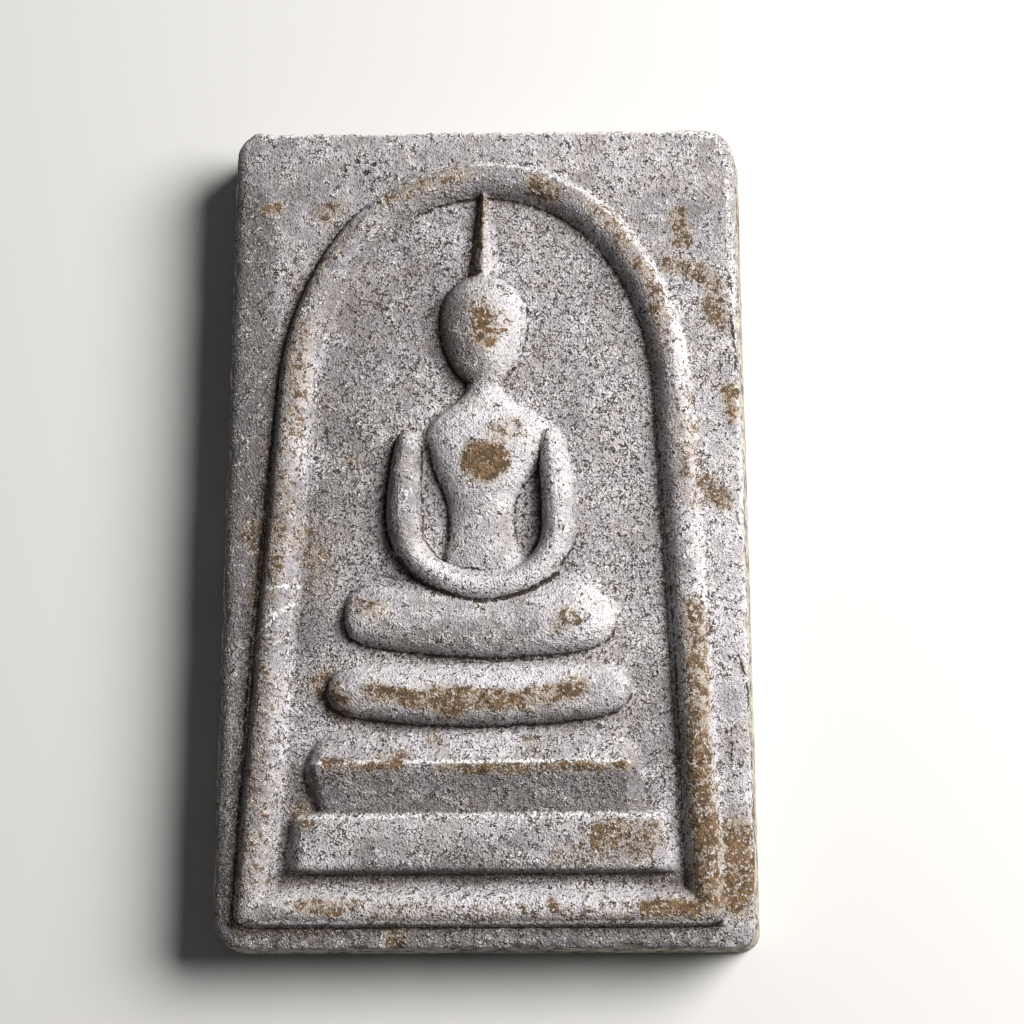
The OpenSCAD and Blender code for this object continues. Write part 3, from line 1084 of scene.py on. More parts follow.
# Brown places where the bloom is rubbed off: half width, strength, tone from golden (0)
# to dark (1), and the points of the middle line
WORN_PLACES = [
    (0.42, 0.95, 0.1, [(0.1, 9.5), (0.1, 8.7)]),
    (0.2, 0.7, 0.4, [(-0.1, 15.5), (-0.36, 11.86)]),
    (0.5, 0.42, 0, [(-0.3, 10.0), (0.82, 9.4)]),
    (0.5, 1.5, 0, [(-0.2, 2.95), (0.15, 2.6), (0.45, 2.85)]),
    (0.45, 0.5, 0, [(0.46, 4.12), (1.38, 4.39)]),
    (0.4, 0.55, 0, [(-5.44, -3.87), (-4.8, -4.06)]),
    (0.27, 0.6, 0.3, [(3.36, -4.98), (3.81, -4.25), (4.17, -4.62)]),
    (0.32, 0.75, 0, [(-4.94, -7.82), (-3.31, -8.11), (-1.87, -8.21)]),
    (0.5, 0.9, 0, [(-1.87, -8.21), (-1.15, -8.35)]),
    (0.36, 0.8, 0, [(-0.52, -8.13), (1.73, -8.24), (2.99, -7.98), (4.43, -7.62)]),
    (0.45, 0.75, 1, [(-7.27, -7.18), (-6.98, -7.91), (-6.43, -8.46)]),
    (0.16, 0.85, 0, [(-6.98, -11.02), (-5.0, -11.17), (-3.65, -11.08)]),
    (0.3, 0.5, 0, [(-4.56, -10.89), (-3.48, -10.71)]),
    (0.17, 0.7, 0, [(-1.85, -11.28), (1.73, -11.3), (3.52, -11.22), (6.55, -11.2)]),
    (0.28, 0.5, 1, [(-2.34, -9.87), (-1.89, -10.05)]),
    (0.25, 0.5, 1, [(2.07, -9.9), (2.34, -10.44)]),
    (0.3, 0.7, 0.5, [(-8.17, -13.16), (-7.89, -13.61)]),
    (0.7, 0.6, 0.3, [(5.54, -14.43), (7.14, -14.44)]),
    (0.4, 0.5, 0.3, [(3.5, -15.22), (5.72, -15.05)]),
    (0.28, 0.7, 0.2, [(-8.09, -17.36), (-5.86, -17.46)]),
    (0.35, 0.35, 0.3, [(-5.88, -17.71), (7.02, -17.85)]),
    (0.22, 0.8, 0, [(3.18, -17.29), (3.27, -17.46)]),
    (0.3, 1.0, 0, [(7.38, -17.52), (9.23, -17.53), (10.2, -17.35)]),
    (0.45, 0.85, 0, [(9.64, -10.07), (9.87, -12.76), (10.01, -15.42), (10.03, -17.19)]),
    (0.4, 0.7, 0, [(9.53, -4.18), (9.69, -6.0), (9.75, -8.27), (9.68, -10.07)]),
    (0.45, 0.42, 0.3, [(9.2, 5.58), (9.48, 2.3), (9.59, 0.9)]),
    (0.4, 0.5, 0.2, [(5.18, 15.03), (6.19, 14.09), (6.92, 12.72), (7.83, 11.22), (8.28, 9.39),
        (8.36, 8.2)]),
    (0.35, 0.75, 0.4, [(2.39, 15.95), (3.23, 15.64)]),
    (0.45, 0.48, 0.3, [(-4.3, 15.65), (-2.6, 16.45), (-0.9, 16.75)]),
    (0.35, 0.4, 0.2, [(-8.05, 11.11), (-7.5, 12.45), (-6.44, 13.89)]),
    (0.45, 0.5, 0.1, [(-8.9, 4.48), (-8.7, 6.38), (-8.37, 9.24)]),
    (0.6, 0.42, 0.2, [(-9.48, 0.25), (-9.16, 3.06)]),
    (0.6, 0.5, 0.2, [(-9.8, -3.01), (-9.6, -0.92)]),
    (0.55, 0.4, 0.2, [(-10.38, -16.18), (-10.26, -12.6), (-10.1, -8.98), (-9.98, -5.78)]),
    (0.4, 0.6, 1, [(-10.64, -0.22), (-10.35, -0.83)]),
    (0.7, 0.4, 0.4, [(-7.88, -0.59), (-7.59, -2.22)]),
    (0.16, 0.6, 0.2, [(-6.22, 3.12), (-5.94, 3.02)]),
    (0.2, 0.75, 0.2, [(-10.2, 15.2), (-9.7, 15.28)]),
    (0.4, 0.5, 0.7, [(-7.7, 14.93), (-6.85, 15.26)]),
    (0.35, 0.65, 0.5, [(9.07, 14.65), (9.24, 13.43)]),
    (0.32, 0.7, 0.6, [(8.58, 12.28), (10.06, 11.87), (10.79, 11.23)]),
    (0.45, 0.6, 0.6, [(10.6, 10.51), (10.86, 9.64)]),
    (0.4, 0.7, 0, [(11.45, 6.11), (11.62, 5.25)]),
    (0.35, 0.75, 0.5, [(10.2, 1.79), (10.47, 1.41), (11.01, 1.03)]),
    (0.65, 0.9, 0, [(11.41, -14.47), (11.65, -15.81), (11.28, -16.91)]),
    (0.35, 0.8, 0.8, [(-4.03, -18.4), (-3.85, -18.84)]),
]

# Places with more bloom, or with less where the amount is negative: half width, amount
# and the points of the middle line. Many of them are painted light. The paler places on
# flanks and slopes that face the light are painted highlights: the left leg's inner flank,
# the right leg's outer flank, the bar's upper flank, the upper slopes of the middle tier and
# the cushion, the head's right, the right shoulder and the knee. The darker places are
# painted shade: the left margin and rim, the foot margin, the head's left and under the chin,
# the field left of the head, the tiers' lower faces, the undersides of the cushion and lap,
# the joint of the two lower tiers and the groove above the bar.
BLOOM_AND_PAINTED_LIGHT_PLACES = [
    (0.6, -0.45, [(-3.6, 3.2), (-3.8, 1.0), (-3.6, -0.6)]),
    (0.8, -0.95, [(-1.5, 9.8), (-1.4, 8.4), (-0.7, 7.2)]),
    (0.9, 0.1, [(-8.0, 18.1), (8.0, 17.9)]),
    (0.6, 0.4, [(-1.9, 5.4), (-1.9, 4.2), (1.6, 5.2)]),
    (0.6, 0.35, [(3.0, 2.6), (3.1, -1.0)]),
    (0.8, -0.3, [(7.6, -6.5), (8.0, -10.5)]),
    (0.7, -0.5, [(-10.9, 15.0), (-10.9, 9.0)]),
    (0.6, -0.15, [(-6.0, 13.0), (-3.0, 15.4), (1.0, 16.2), (4.4, 15.2)]),
    (0.7, 0.35, [(-3.0, 4.9), (1.5, 4.6)]),
    (1.1, -0.9, [(-11.5, 14.5), (-11.7, 2.0)]),
    (1.1, -0.4, [(-11.8, 0.0), (-12.1, -17.5)]),
    (0.5, -0.6, [(-12.2, -18.7), (-4.0, -18.8), (10.0, -18.8)]),
    (0.75, -0.8, [(-7.2, -12.2), (6.6, -12.2)]),
    (0.28, -0.9, [(-8.9, -16.08), (9.0, -16.08)]),
    (1.0, -0.1, [(3.4, 13.4), (6.4, 10.0)]),
    (0.8, -0.4, [(-8.2, 1.5), (-8.5, -4.5), (-8.9, -9.0), (-9.2, -13.0)]),
    (0.8, -0.3, [(-6.4, 7.5), (-6.4, 2.0)]),
    (0.3, -0.4, [(-5.2, -8.9), (4.5, -9.0)]),
    (0.5, -0.4, [(-4.6, -5.2), (1.6, -5.4)]),
    (0.7, -0.3, [(1.5, -15.0), (7.4, -14.8)]),
    (0.6, -0.35, [(-5.0, -15.3), (0.0, -15.5)]),
    (0.4, 0.6, [(-5.6, -6.9), (0.0, -7.2), (5.8, -6.8)]),
    (1.6, -0.2, [(-5.2, 10.0), (-6.4, 2.0), (-7.4, -5.0)]),
    (0.9, -0.25, [(-3.5, -4.6), (2.0, -4.8)]),
    (0.9, 0.8, [(3.4, -3.6), (4.9, -4.4)]),
    (0.5, 0.75, [(-3.6, -1.4), (-2.4, -2.4), (0.2, -2.9), (2.6, -2.2)]),
    (0.7, 0.55, [(1.2, 10.4), (1.2, 8.4)]),
    (0.6, 0.5, [(0.6, 5.6), (3.0, 4.6), (3.6, 2.0)]),
    (0.4, 0.45, [(-5.0, -10.2), (-0.5, -10.2), (2.0, -10.3)]),
    (0.14, -0.8, [(-8.0, -13.02), (7.2, -13.0)]),
    (0.3, -1.0, [(-11.7, 17.6), (-11.85, 6.0), (-12.05, -8.0), (-12.15, -17.6)]),
    (1.2, -0.12, [(-10.2, 17.6), (-9.0, 16.4)]),
    (0.9, -0.35, [(-3.2, 12.9), (-2.8, 10.5)]),
    (0.8, 0.2, [(10.8, 5.5), (10.8, 0.5)]),
    (0.7, 0.5, [(-0.6, 4.6), (-1.2, 2.6), (1.4, 1.6)]),
    (0.3, 0.5, [(-8.0, 8.0), (-8.6, 2.0), (-9.0, -4.0), (-9.4, -14.0)]),
    (0.5, 0.7, [(-8.5, -16.9), (6.5, -16.9)]),
    (0.25, 0.7, [(8.9, 9.0), (10.0, 2.0), (10.3, -6.0), (10.6, -16.0)]),
    (1.2, 0.2, [(6.4, 4.0), (7.2, -5.0)]),
    (0.8, 0.3, [(10.8, -1.0), (11.3, -8.0)]),
]

# Fall of a mark's strength over its half width
LINE_FALL = 0.75
# The side away from the soft light, where seams, hollows and stains are made darker as painted
# shade
AWAY_FROM_LIGHT = (-0.9, -0.43, 0.0)
# Heights in mm between which the throne's dark marks give way to the calmer figure
THRONE_TOP = (-9.6, -8.8)
# Grime and dark marks of the bead and the margins. The field has no grime and full marks.
BEAD_GRIME = 0.35
MARGIN_GRIME = 0.3
BEAD_MARKS = 0.3
MARGIN_MARKS = 0.28

# Cracks and nicks: half width, then the points of the line. The lines under the arm loop, round
# the arms, beside the torso, under the lap and beside the topknot are creases at the feet of the
# forms. They are widest under the loop and on the sides away from the light, and that extra width
# is painted shade.
CRACKS_AND_SHADED_CREASES = [
    (0.07, [(-3.91, -1.45), (-3.26, -2.32), (-2.26, -2.98), (-1.27, -3.38), (-0.27, -3.61),
        (0.58, -3.57), (1.43, -3.38), (2.28, -3.06), (3.14, -2.56), (3.42, -2.32)]),
    (0.03, [(3.4, -2.21), (3.68, -1.85), (4.11, -1.12), (4.36, -0.4)]),
    (0.05, [(-4.09, 3.91), (-4.34, 2.51), (-4.5, 1.04), (-4.49, -0.14), (-4.17, -1.09)]),
    (0.025, [(-2.86, 3.81), (-2.85, 2.48), (-2.8, 1.01), (-2.79, -0.53), (-2.11, -1.48),
        (-1.03, -2.05), (0.11, -2.16), (0.97, -2.07)]),
    (0.035, [(-2.53, 3.8), (-2.3, 2.62), (-1.79, 1.44), (-1.61, 0.26), (-1.58, -0.76)]),
    (0.05, [(2.62, 3.67), (2.55, 2.71), (2.65, 1.38), (2.67, -0.08), (2.54, -0.81),
        (2.18, -1.24)]),
    (0.02, [(2.48, 2.56), (1.83, 1.76), (1.47, 0.96), (1.44, -0.07), (1.61, -0.94)]),
    (0.02, [(-1.3, -6.33), (0.12, -6.37), (1.37, -6.27), (2.62, -6.24), (3.87, -6.06)]),
    (0.03, [(-0.21, 15.77), (-0.48, 14.12), (-0.7, 11.88)]),
    (0.05, [(11.46, 9.78), (11.54, 8.82), (11.66, 7.86), (11.65, 7.15)]),
    (0.025, [(11.02, 8.02), (10.97, 7.35), (10.96, 6.68)]),
    (0.03, [(-11.58, 15.49), (-11.15, 15.29), (-10.72, 15.08)]),
    (0.03, [(11.54, -6.13), (11.84, -7.05), (11.96, -7.73), (12.0, -8.41)]),
    (0.02, [(11.17, -9.54), (11.21, -10.22), (11.15, -10.8)]),
]

# Small round pits: radius, place across and place up
PITS = [
    (0.09, -6.55, 17.12), (0.07, -6.22, 17.32), (0.12, -5.94, 17.55), (0.06, -5.69, 16.47),
    (0.13, -5.55, 17.0), (0.08, -5.31, 16.56), (0.1, -5.18, 17.35), (0.07, -5.26, 16.2),
    (0.09, -4.98, 16.7), (0.06, -4.9, 17.59), (0.08, -4.66, 16.99), (0.06, -6.6, 17.5),
    (0.1, 9.95, -13.6), (0.07, 10.3, 8.1), (0.07, -9.3, 12.2),
]

# White scratches, lips and rubbed arrises: half width, strength and the points of the line. The
# lines along the plinth's top edge and above the middle tier's crest lie on slopes that face the
# light, and are partly rubbed arrises and partly painted highlight.
CHALK_AND_HIGHLIGHT_LINES = [
    (0.05, 1.0, [(-10.2, -18.08), (0.8, -18.12), (10.2, -18.1)]),
    (0.14, 0.55, [(-8.2, -13.4), (7.9, -13.35)]),
    (0.12, 0.75, [(-10.5, 18.9), (-7.7, 19.0), (0.8, 18.92), (9.2, 18.8), (10.8, 18.5)]),
    (0.1, 0.5, [(10.8, 18.5), (11.3, 17.4), (11.5, 12.0), (11.75, 5.0), (12.0, -6.0),
        (12.2, -17.0)]),
    (0.07, 0.8, [(-7.6, -10.98), (6.6, -10.98)]),
    (0.05, 0.9, [(-10.35, -3.06), (-8.3, -2.76)]),
    (0.045, 0.75, [(-10.54, -5.37), (-8.51, -3.54)]),
    (0.045, 0.7, [(-10.0, -4.54), (-8.74, -3.72)]),
    (0.045, 0.6, [(-10.5, -6.2), (-8.9, -5.2)]),
    (0.06, 0.42, [(-7.59, 6.01), (-7.64, 2.68), (-7.69, -0.61)]),
    (0.06, 0.4, [(-6.83, 4.57), (-6.87, 0.32)]),
    (0.06, 0.45, [(-6.38, 6.23), (-6.44, 2.67)]),
    (0.06, 0.4, [(-5.7, 2.66), (-5.75, -0.86)]),
    (0.06, 0.35, [(-8.21, 3.4), (-8.24, -0.6)]),
]


def creases(layout):
    """Half widths and lines of the creases at the feet of the forms. They are wider on the head's
    left and lie along the undersides of the lap and the cushion, and there they are painted shade
    as well as dark joints.
    """
    x, y, half, _ = np.array(layout.head()).T
    yield 0.03, np.column_stack([x - half, y])
    yield 0.015, np.column_stack([x + half, y])
    for rows in (layout.lap(), layout.cushion()):
        x, y, half, _ = np.array(rows).T
        yield 0.03, np.column_stack([x, y - half])


def near_line(place, line, half, middle=1.5):
    """One along a line, and from there to nought at about twice its half width."""
    return np.clip(middle - LINE_FALL * line_distance(place, line) / half, 0, 1)


def mark_surface(obj, layout):
    """Stores where the skin is worn, cracked, hollow or cut, and where painted highlights and
    painted shade lie, for the material to read.
    """
    place = vertex_places(obj)
    arch = layout.arch()
    width = layout.frame.width
    within = inside(place, arch)
    to_frame = line_distance(place, np.vstack([arch, arch[:1]]))
    past_foot = to_frame - width / 2
    away_from_light = facing(obj, AWAY_FROM_LIGHT)

    mark_wear_and_shade(obj, place, away_from_light)
    on_bead = line_distance(place, arch) < 0.45 * width
    mark_bloom_and_painted_light(obj, place, np.where(on_bead, BEAD_GRIME, np.where(within, 0, MARGIN_GRIME)))
    crack = crack_and_crease_distance(place, layout, within, past_foot)
    store(obj, "crack", np.clip(crack, -0.1, 1))

    # Dark marks: on the field and by the cracks, few on the figure, frame and margins
    raised = np.clip((place[:, 2] - layout.field_z) / 0.35 - 0.3, 0, 1)
    calm = raised * np.interp(place[:, 1], THRONE_TOP, (0.4, 1.0))
    spread = np.where(within, 1 - calm, MARGIN_MARKS)
    spread = np.where(to_frame < 0.4 * width, BEAD_MARKS, spread)
    crumbs = 0.6 * np.clip(1 - crack / 0.45, 0, 1)
    store(obj, "marks", np.clip(crumbs + spread, 0, 1))

    mark_chalk_and_highlight(obj, place, within, to_frame - 0.8 * width / 2)
    mark_hollow_shade(obj, place, away_from_light, within, past_foot)
    store(obj, "wall", np.clip((layout.slab.thickness - 0.4 - place[:, 2]) / 0.2, 0, 1))


def mark_wear_and_shade(obj, place, away_from_light):
    """The rubbed places and their tone, with a little painted shade: some brown on the sides that
    face away from the light.
    """
    worn = np.zeros(len(place))
    tone = np.zeros(len(place))
    for half, strength, shade, line in WORN_PLACES:
        level = strength * near_line(place, line, half, 1.6)
        tone = np.where(level > worn, shade, tone)
        worn = np.maximum(worn, level)
    store(obj, "worn", np.maximum(worn, 0.2 * np.clip(1.5 * away_from_light, 0, 1)))
    store(obj, "tone", tone)


def mark_bloom_and_painted_light(obj, place, ground):
    """The bloom, and the grime that the ground keeps where there is little of it, with painted
    highlights and painted shade laid into both.
    """
    bloom = np.zeros(len(place))
    for half, amount, line in BLOOM_AND_PAINTED_LIGHT_PLACES:
        bloom += amount * near_line(place, line, half)
    store(obj, "bloom", np.clip(bloom, 0, 1))
    store(obj, "grime", np.clip(ground - bloom, 0, 1))


def crack_and_crease_distance(place, layout, within, past_foot):
    """Distance from the nearest crack, crease or pit, below nought inside it."""
    crack = np.full(len(place), FAR)
    for half, line in (*CRACKS_AND_SHADED_CREASES, *creases(layout)):
        crack = np.minimum(crack, line_distance(place, line) - half)
    for radius, x, y in PITS:
        crack = np.minimum(crack, np.hypot(place[:, 0] - x, place[:, 1] - y) - radius)

    # The creases at the frame's two feet, wider at the left outside and at the right inside: the
    # sides away from the light, where the extra width is painted shade
    x, y = place[:, 0], place[:, 1]
    outer = np.where(y < layout.bar_y, 0.03, np.interp(x, (-7, -4), (0.05, -0.06)))
    inner = np.interp(x, (-7, -3, 6), (-0.08, 0.03, 0.02))
    inner = np.where(y < layout.bar_y + 1.2, -0.06, inner)
    return np.minimum(crack, np.abs(past_foot) - np.where(within, inner, outer))


def mark_chalk_and_highlight(obj, place, within, past_shoulder):
    """The white scratches and lips, and the pale outer flank of the crown, which faces the light:
    partly rubbed lime, partly painted highlight.
    """
    chalk = np.zeros(len(place))
    for half, strength, line in CHALK_AND_HIGHLIGHT_LINES:
        chalk = np.maximum(chalk, strength * near_line(place, line, half))
    on_crown = ~within & (place[:, 1] > 7) & (place[:, 0] > -8)
    lit_flank = 0.6 * np.clip(1.6 - np.abs(past_shoulder) / 0.22, 0, 1)
    store(obj, "chalk", np.where(on_crown, np.maximum(chalk, lit_flank), chalk))


def mark_hollow_shade(obj, place, away_from_light, within, past_foot):
    """Painted shade in the tight seams and the wide hollows, most on the side away from the
    light, and a painted shadow on the margin beside the frame's left leg.
    """
    tight = hollows(obj, place, 6) / 0.05
    store(obj, "seam", np.clip(tight, 0, 1.5) * np.clip(0.35 + 1.5 * away_from_light, 0, 1))
    wide = hollows(obj, place, 50) / 0.2
    cavity = np.clip(wide, 0, 1) * np.clip(0.5 + 1.5 * away_from_light, 0, 1)
    on_left = ~within & (place[:, 0] < -6) & (place[:, 1] < 12)
    # The margin beside the frame's left leg darkens towards the bead: a painted cast shadow.
    left_leg_shadow = 0.85 * np.clip(1 - past_foot / 0.75, 0, 1) * np.clip(1 + past_foot / 0.1, 0, 1)
    store(obj, "cavity", np.where(on_left, np.maximum(cavity, left_leg_shadow), cavity))


def facing(obj, way):
    """How much each point of the skin faces a way, a unit vector."""
    return vertex_rows(obj, "normal") @ np.array(way)


def hollows(obj, place, rounds):
    """How far each point lies below the smoothed skin, along its normal."""
    ends = np.empty(len(obj.data.edges) * 2, np.int32)
    obj.data.edges.foreach_get("vertices", ends)
    a, b = ends[0::2], ends[1::2]
    count = len(place)
    near = np.bincount(a, minlength=count) + np.bincount(b, minlength=count)
    soft = place.copy()
    for _ in range(rounds):
        total = np.empty_like(soft)
        for axis in range(3):
            total[:, axis] = np.bincount(a, soft[b, axis], count)
            total[:, axis] += np.bincount(b, soft[a, axis], count)
        soft = 0.5 * soft + 0.5 * total / near[:, None]
    return np.einsum("ij,ij->i", soft - place, vertex_rows(obj, "normal"))


# Material

# Chalk of the scratches, lips and palest specks, and of the painted highlights on lit flanks and
# edges
WHITE = (0.85, 0.84, 0.84)
# Two tints that the ground wanders between
COOL = (0.985, 0.99, 1.01)
WARM = (1.01, 1.0, 0.97)
# Usual spread of Blender's noise about its middle, for one octave
NOISE_SPREAD = 0.14


class Graph:
    """Adds and links the nodes of one material."""

    def __init__(self, name):
        self.material = bpy.data.materials.new(name)
        self.material.use_nodes = True
        self.tree = self.material.node_tree
        self.shader = self.tree.nodes["Principled BSDF"]

    def put(self, socket, value):
        if isinstance(value, bpy.types.NodeSocket):
            self.tree.links.new(value, socket)
        else:
            socket.default_value = value

    def add(self, kind, **values):
        node = self.tree.nodes.new(kind)
        for key, value in values.items():
            setattr(node, key, value)
        return node

    def math(self, operation, a, b=0.0):
        node = self.add("ShaderNodeMath", operation=operation)
        self.put(node.inputs[0], a)
        self.put(node.inputs[1], b)
        return node.outputs[0]

    def ramp(self, value, low, high, to_low=0.0, to_high=1.0):
        """Takes a value that lies from low to high, smoothly to a new span."""
        node = self.add("ShaderNodeMapRange", interpolation_type="SMOOTHSTEP", clamp=True)
        for socket, given in zip(node.inputs, (value, low, high, to_low, to_high)):
            self.put(socket, given)
        return node.outputs[0]

    def mix(self, factor, a, b, blend="MIX"):
        node = self.add("ShaderNodeMix", data_type="RGBA", blend_type=blend, clamp_factor=True)
        self.put(node.inputs[0], factor)
        self.put(node.inputs[6], a if isinstance(a, bpy.types.NodeSocket) else (*a, 1))
        self.put(node.inputs[7], b if isinstance(b, bpy.types.NodeSocket) else (*b, 1))
        return node.outputs[2]

    def coat(self, base, colour, cover, strength):
        """Lays a colour over the base, as thick as the cover and the strength give."""
        return self.mix(self.math("MULTIPLY", cover, strength), base, colour)

    def total(self, *parts):
        """A weighted sum of values."""
        found = None
        for value, weight in parts:
            term = self.math("MULTIPLY", value, weight) if weight != 1 else value
            found = term if found is None else self.math("ADD", found, term)
        return found

    def noise(self, place, scale, detail=2.0, roughness=0.5, distortion=0.0):
        """A cloudy pattern with its middle at nought and a usual spread of one."""
        node = self.add("ShaderNodeTexNoise")
        self.put(node.inputs["Vector"], place)
        node.inputs["Scale"].default_value = scale
        node.inputs["Detail"].default_value = detail
        node.inputs["Roughness"].default_value = roughness
        node.inputs["Distortion"].default_value = distortion
        steps = roughness ** np.arange(int(detail) + 1)
        spread = NOISE_SPREAD * math.sqrt((steps**2).sum()) / steps.sum()
        scaled = self.add("ShaderNodeMath", operation="MULTIPLY_ADD")
        self.put(scaled.inputs[0], node.outputs[0])
        scaled.inputs[1].default_value = 1 / spread
        scaled.inputs[2].default_value = -0.5 / spread
        return scaled.outputs[0]

    def attribute(self, name):
        node = self.add("ShaderNodeAttribute", attribute_name=name, attribute_type="GEOMETRY")
        return node.outputs["Fac"]

    def curls(self, place, scale, width, detail, twist):
        """Thin curling lines, one where the noise passes its middle."""
        away = self.math("ABSOLUTE", self.noise(place, scale, detail, 0.6, twist))
        return self.ramp(away, 0.75 * width, 1.25 * width, 1.0, 0.0)


def clay_material():
    surface = bpy.context.scene.tablet_surface
    g = Graph("pressed_clay")
    where = g.add("ShaderNodeTexCoord").outputs["Object"]
    mapping = g.add("ShaderNodeMapping")
    mapping.inputs["Scale"].default_value = (1 / MM, 1 / MM, 1 / MM)
    g.put(mapping.inputs["Vector"], where)
    place = mapping.outputs[0]
    names = ("pale", "grey", "dark", "brown", "gold", "umber", "slate", "cream")
    pale, grey, dark, brown, gold, umber, slate, cream = (
        tuple(getattr(surface, name)) for name in names
    )

    # Bloom over a greyer ground, in soft clouds and a low grain. The bloom and grime marks also
    # carry painted highlights and painted shade, and slate darkens where grime and shade are
    # thickest
    grain = g.noise(place, 10, 1, 0.9)
    fine = g.noise(place, 5, 2, 0.75)
    medium = g.noise(place, 1.6, 4, 0.65)
    cloud = g.noise(place, 0.35, 3, 0.55)
    grime, bloom = g.attribute("grime"), g.attribute("bloom")
    cover = g.total(
        (medium, 0.35), (cloud, 0.35), (fine, 0.12), (grain, 0.18), (bloom, 1.2), (grime, -1)
    )
    base = g.mix(g.ramp(cover, -1.9, 1.3), grey, pale)
    slated = g.ramp(g.total((grime, 2), (grain, 0.6), (fine, 0.5)), 0.5, 2.2)
    base = g.coat(base, slate, slated, 0.85)
    tinted = g.ramp(g.noise(place, 0.6, 2, 0.5), -1, 1)
    base = g.mix(1.0, base, g.mix(tinted, COOL, WARM), "MULTIPLY")

    # A soft brown stain round the rubbed places, with a little painted shade of it on the sides
    # away from the light
    rubbed_and_shaded = g.attribute("worn")
    stain = g.ramp(g.total((rubbed_and_shaded, 1), (medium, 0.12), (fine, 0.07)), 0.05, 0.85)
    base = g.coat(base, gold, stain, 0.85)

    # Painted shade in the hollows, and the painted shadow beside the frame's left leg
    hollow_shade_cover = g.ramp(g.total((g.attribute("cavity"), 1), (fine, 0.2), (grain, 0.15)), 0.1, 0.95)
    base = g.coat(base, umber, hollow_shade_cover, 0.88)

    # White strokes and chalky lips, with painted highlights on the crown's outer flank and on
    # tier edges that face the light
    speckled = g.attribute("marks")
    rough = g.ramp(g.total((medium, 1), (speckled, -1.2)), -0.1, 0.6)
    strokes = g.math("MULTIPLY", g.curls(place, 3.4, 0.3, 2, 0), rough)
    chalk = g.ramp(g.total((g.attribute("chalk"), 1), (fine, 0.15)), 0.3, 0.7)
    base = g.coat(base, WHITE, strokes, 0.55)
    base = g.coat(base, WHITE, chalk, 0.75)

    # Dark curling marks, thickest on the field
    curls = g.math("MAXIMUM", g.curls(place, 2.2, 0.27, 3, 0.8), g.curls(place, 4, 0.3, 1, 0.3))
    clumps = g.noise(place, 3.2, 1, 0.8)
    thick = g.total((clumps, 0.8), (medium, 0.6), (cloud, 0.25), (speckled, 2))
    marks = g.math("MULTIPLY", curls, g.ramp(thick, 0.9, 1.1))
    base = g.coat(base, dark, marks, 0.97)

    # Dark and pale specks over all
    base = g.mix(g.ramp(grain, -1.5, -1.8, 0.0, 0.6), base, dark)
    base = g.mix(g.ramp(grain, 1.5, 1.8, 0.0, 0.5), base, WHITE)

    # Brown clay where the bloom is rubbed off, darkest at the patches' edges, with a little
    # painted shade on the sides away from the light
    worn = g.total((rubbed_and_shaded, 1), (g.noise(place, 1.7, 5, 0.8), 0.24), (grain, 0.05))
    heart = g.total((rubbed_and_shaded, 0.8), (medium, 0.9), (fine, 0.7))
    clay = g.mix(g.ramp(heart, -1.0, 2.2), umber, brown)
    clay = g.coat(clay, umber, g.attribute("tone"), 0.8)
    flecked = g.ramp(rubbed_and_shaded, 0.95, 1.4, 0.6, 0.2)
    clay = g.coat(clay, pale, g.ramp(fine, 0.9, 1.5), flecked)
    base = g.mix(g.ramp(worn, 0.58, 0.72), base, clay)

    # Painted shade in the seams, and soot in the cracks and creases, whose wider lines on the
    # sides away from the light are painted shade
    base = g.mix(g.ramp(g.total((g.attribute("seam"), 1), (fine, 0.08)), 0.35, 0.85), base, dark)
    crack = g.total((g.attribute("crack"), 1), (g.noise(place, 4, 3, 0.75), 0.03))
    base = g.mix(g.ramp(crack, -0.01, 0.03, 1.0, 0.0), base, dark)

    # Cream walls, where the tablet was cut
    wall = g.ramp(g.total((g.attribute("wall"), 1), (fine, 0.15), (medium, 0.1)), 0.35, 0.65)
    greyed = g.total((medium, 0.8), (cloud, 0.6), (fine, 0.4))
    cut = g.mix(g.ramp(greyed, -1.2, 1.6), cream, grey)
    browned = g.total((cloud, 0.7), (medium, 0.7), (grain, 0.3))
    cut = g.mix(g.ramp(browned, 1.0, 1.8, 0.0, 0.8), cut, brown)
    cut = g.coat(cut, umber, curls, g.ramp(medium, 0.1, 0.9))
    base = g.mix(wall, base, cut)

    shader = g.shader
    g.put(shader.inputs["Base Color"], base)
    g.put(shader.inputs["Roughness"], g.ramp(medium, -1.5, 1.5, 0.8, 0.95))
    shader.inputs["Specular IOR Level"].default_value = 0.25

    # Relief finer than the mesh, in millimetres
    groove = g.ramp(g.attribute("crack"), -0.04, 0.05, -0.08, 0.0)
    torn = g.math("MULTIPLY", wall, medium)
    relief = g.total((medium, 0.012), (fine, 0.008), (grain, 0.006), (groove, 1), (torn, 0.035))
    bump = g.add("ShaderNodeBump")
    bump.inputs["Strength"].default_value = 1.0
    bump.inputs["Distance"].default_value = MM
    g.put(bump.inputs["Height"], relief)
    g.put(shader.inputs["Normal"], bump.outputs[0])
    return g.material


class TabletPanel(bpy.types.Panel):
    """Lists the steps that make the tablet"""

    bl_idname = "VIEW3D_PT_pressed_tablet"
    bl_label = "Pressed clay tablet"
    bl_space_type = "VIEW_3D"
    bl_region_type = "UI"
    bl_category = "Tablet"

    def draw(self, context):
        for operator in OPERATORS:
            self.layout.operator(operator.bl_idname)
        for name, settings in SETTINGS.items():
            box = self.layout.box()
            values = getattr(context.scene, name)
            for key in settings.__annotations__:
                box.prop(values, key)


OPERATORS = (AddSlab, AddFrame, AddThrone, AddFigure, PressTablet, AddStage)
CLASSES = (*SETTINGS.values(), *OPERATORS, TabletPanel)


def register():
    for cls in CLASSES:
        bpy.utils.register_class(cls)
    for name, settings in SETTINGS.items():
        setattr(bpy.types.Scene, name, bpy.props.PointerProperty(type=settings))


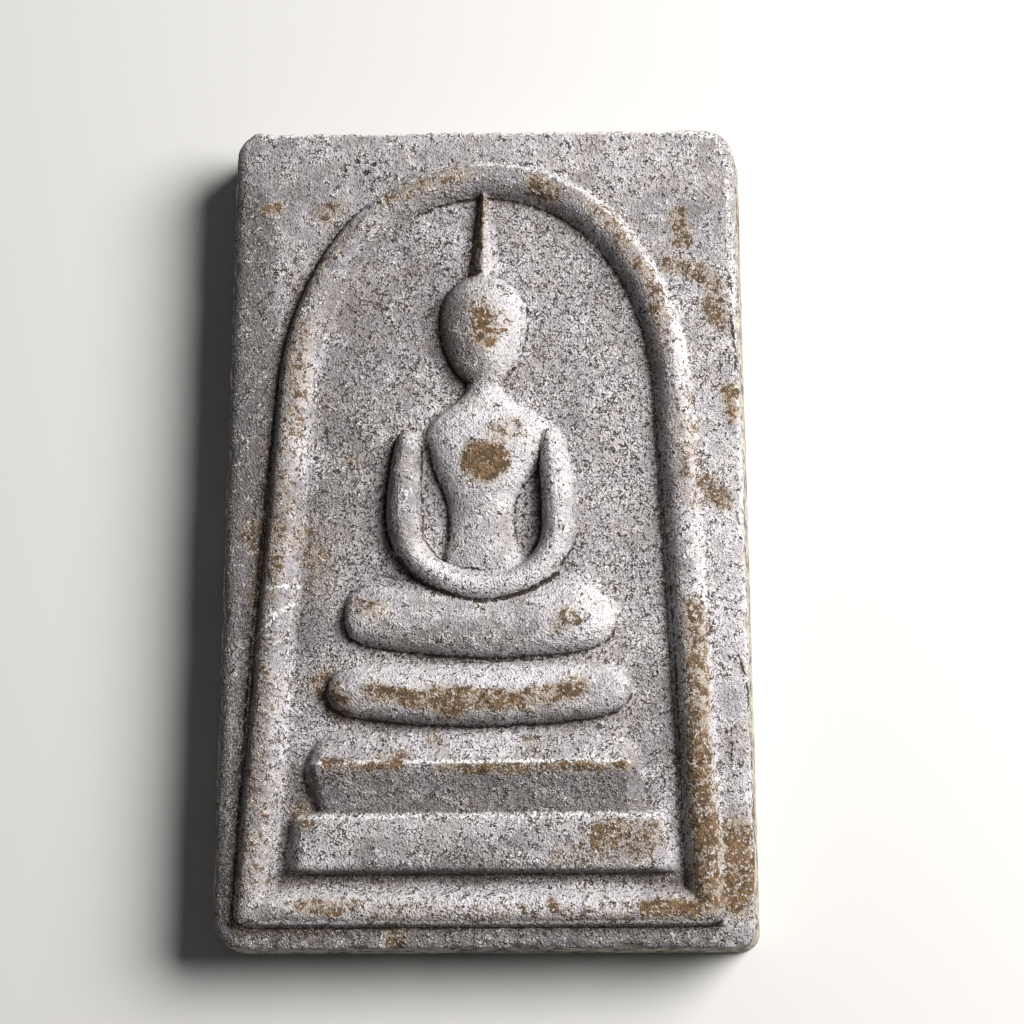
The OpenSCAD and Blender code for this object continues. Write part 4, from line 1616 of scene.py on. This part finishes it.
def unregister():
    for name in SETTINGS:
        delattr(bpy.types.Scene, name)
    for cls in reversed(CLASSES):
        bpy.utils.unregister_class(cls)


def main():
    register()
    bpy.ops.tablet.add_slab()
    bpy.ops.tablet.add_frame()
    bpy.ops.tablet.add_throne()
    bpy.ops.tablet.add_figure()
    bpy.ops.tablet.press()
    bpy.ops.tablet.add_stage()


if __name__ == "__main__":
    main()
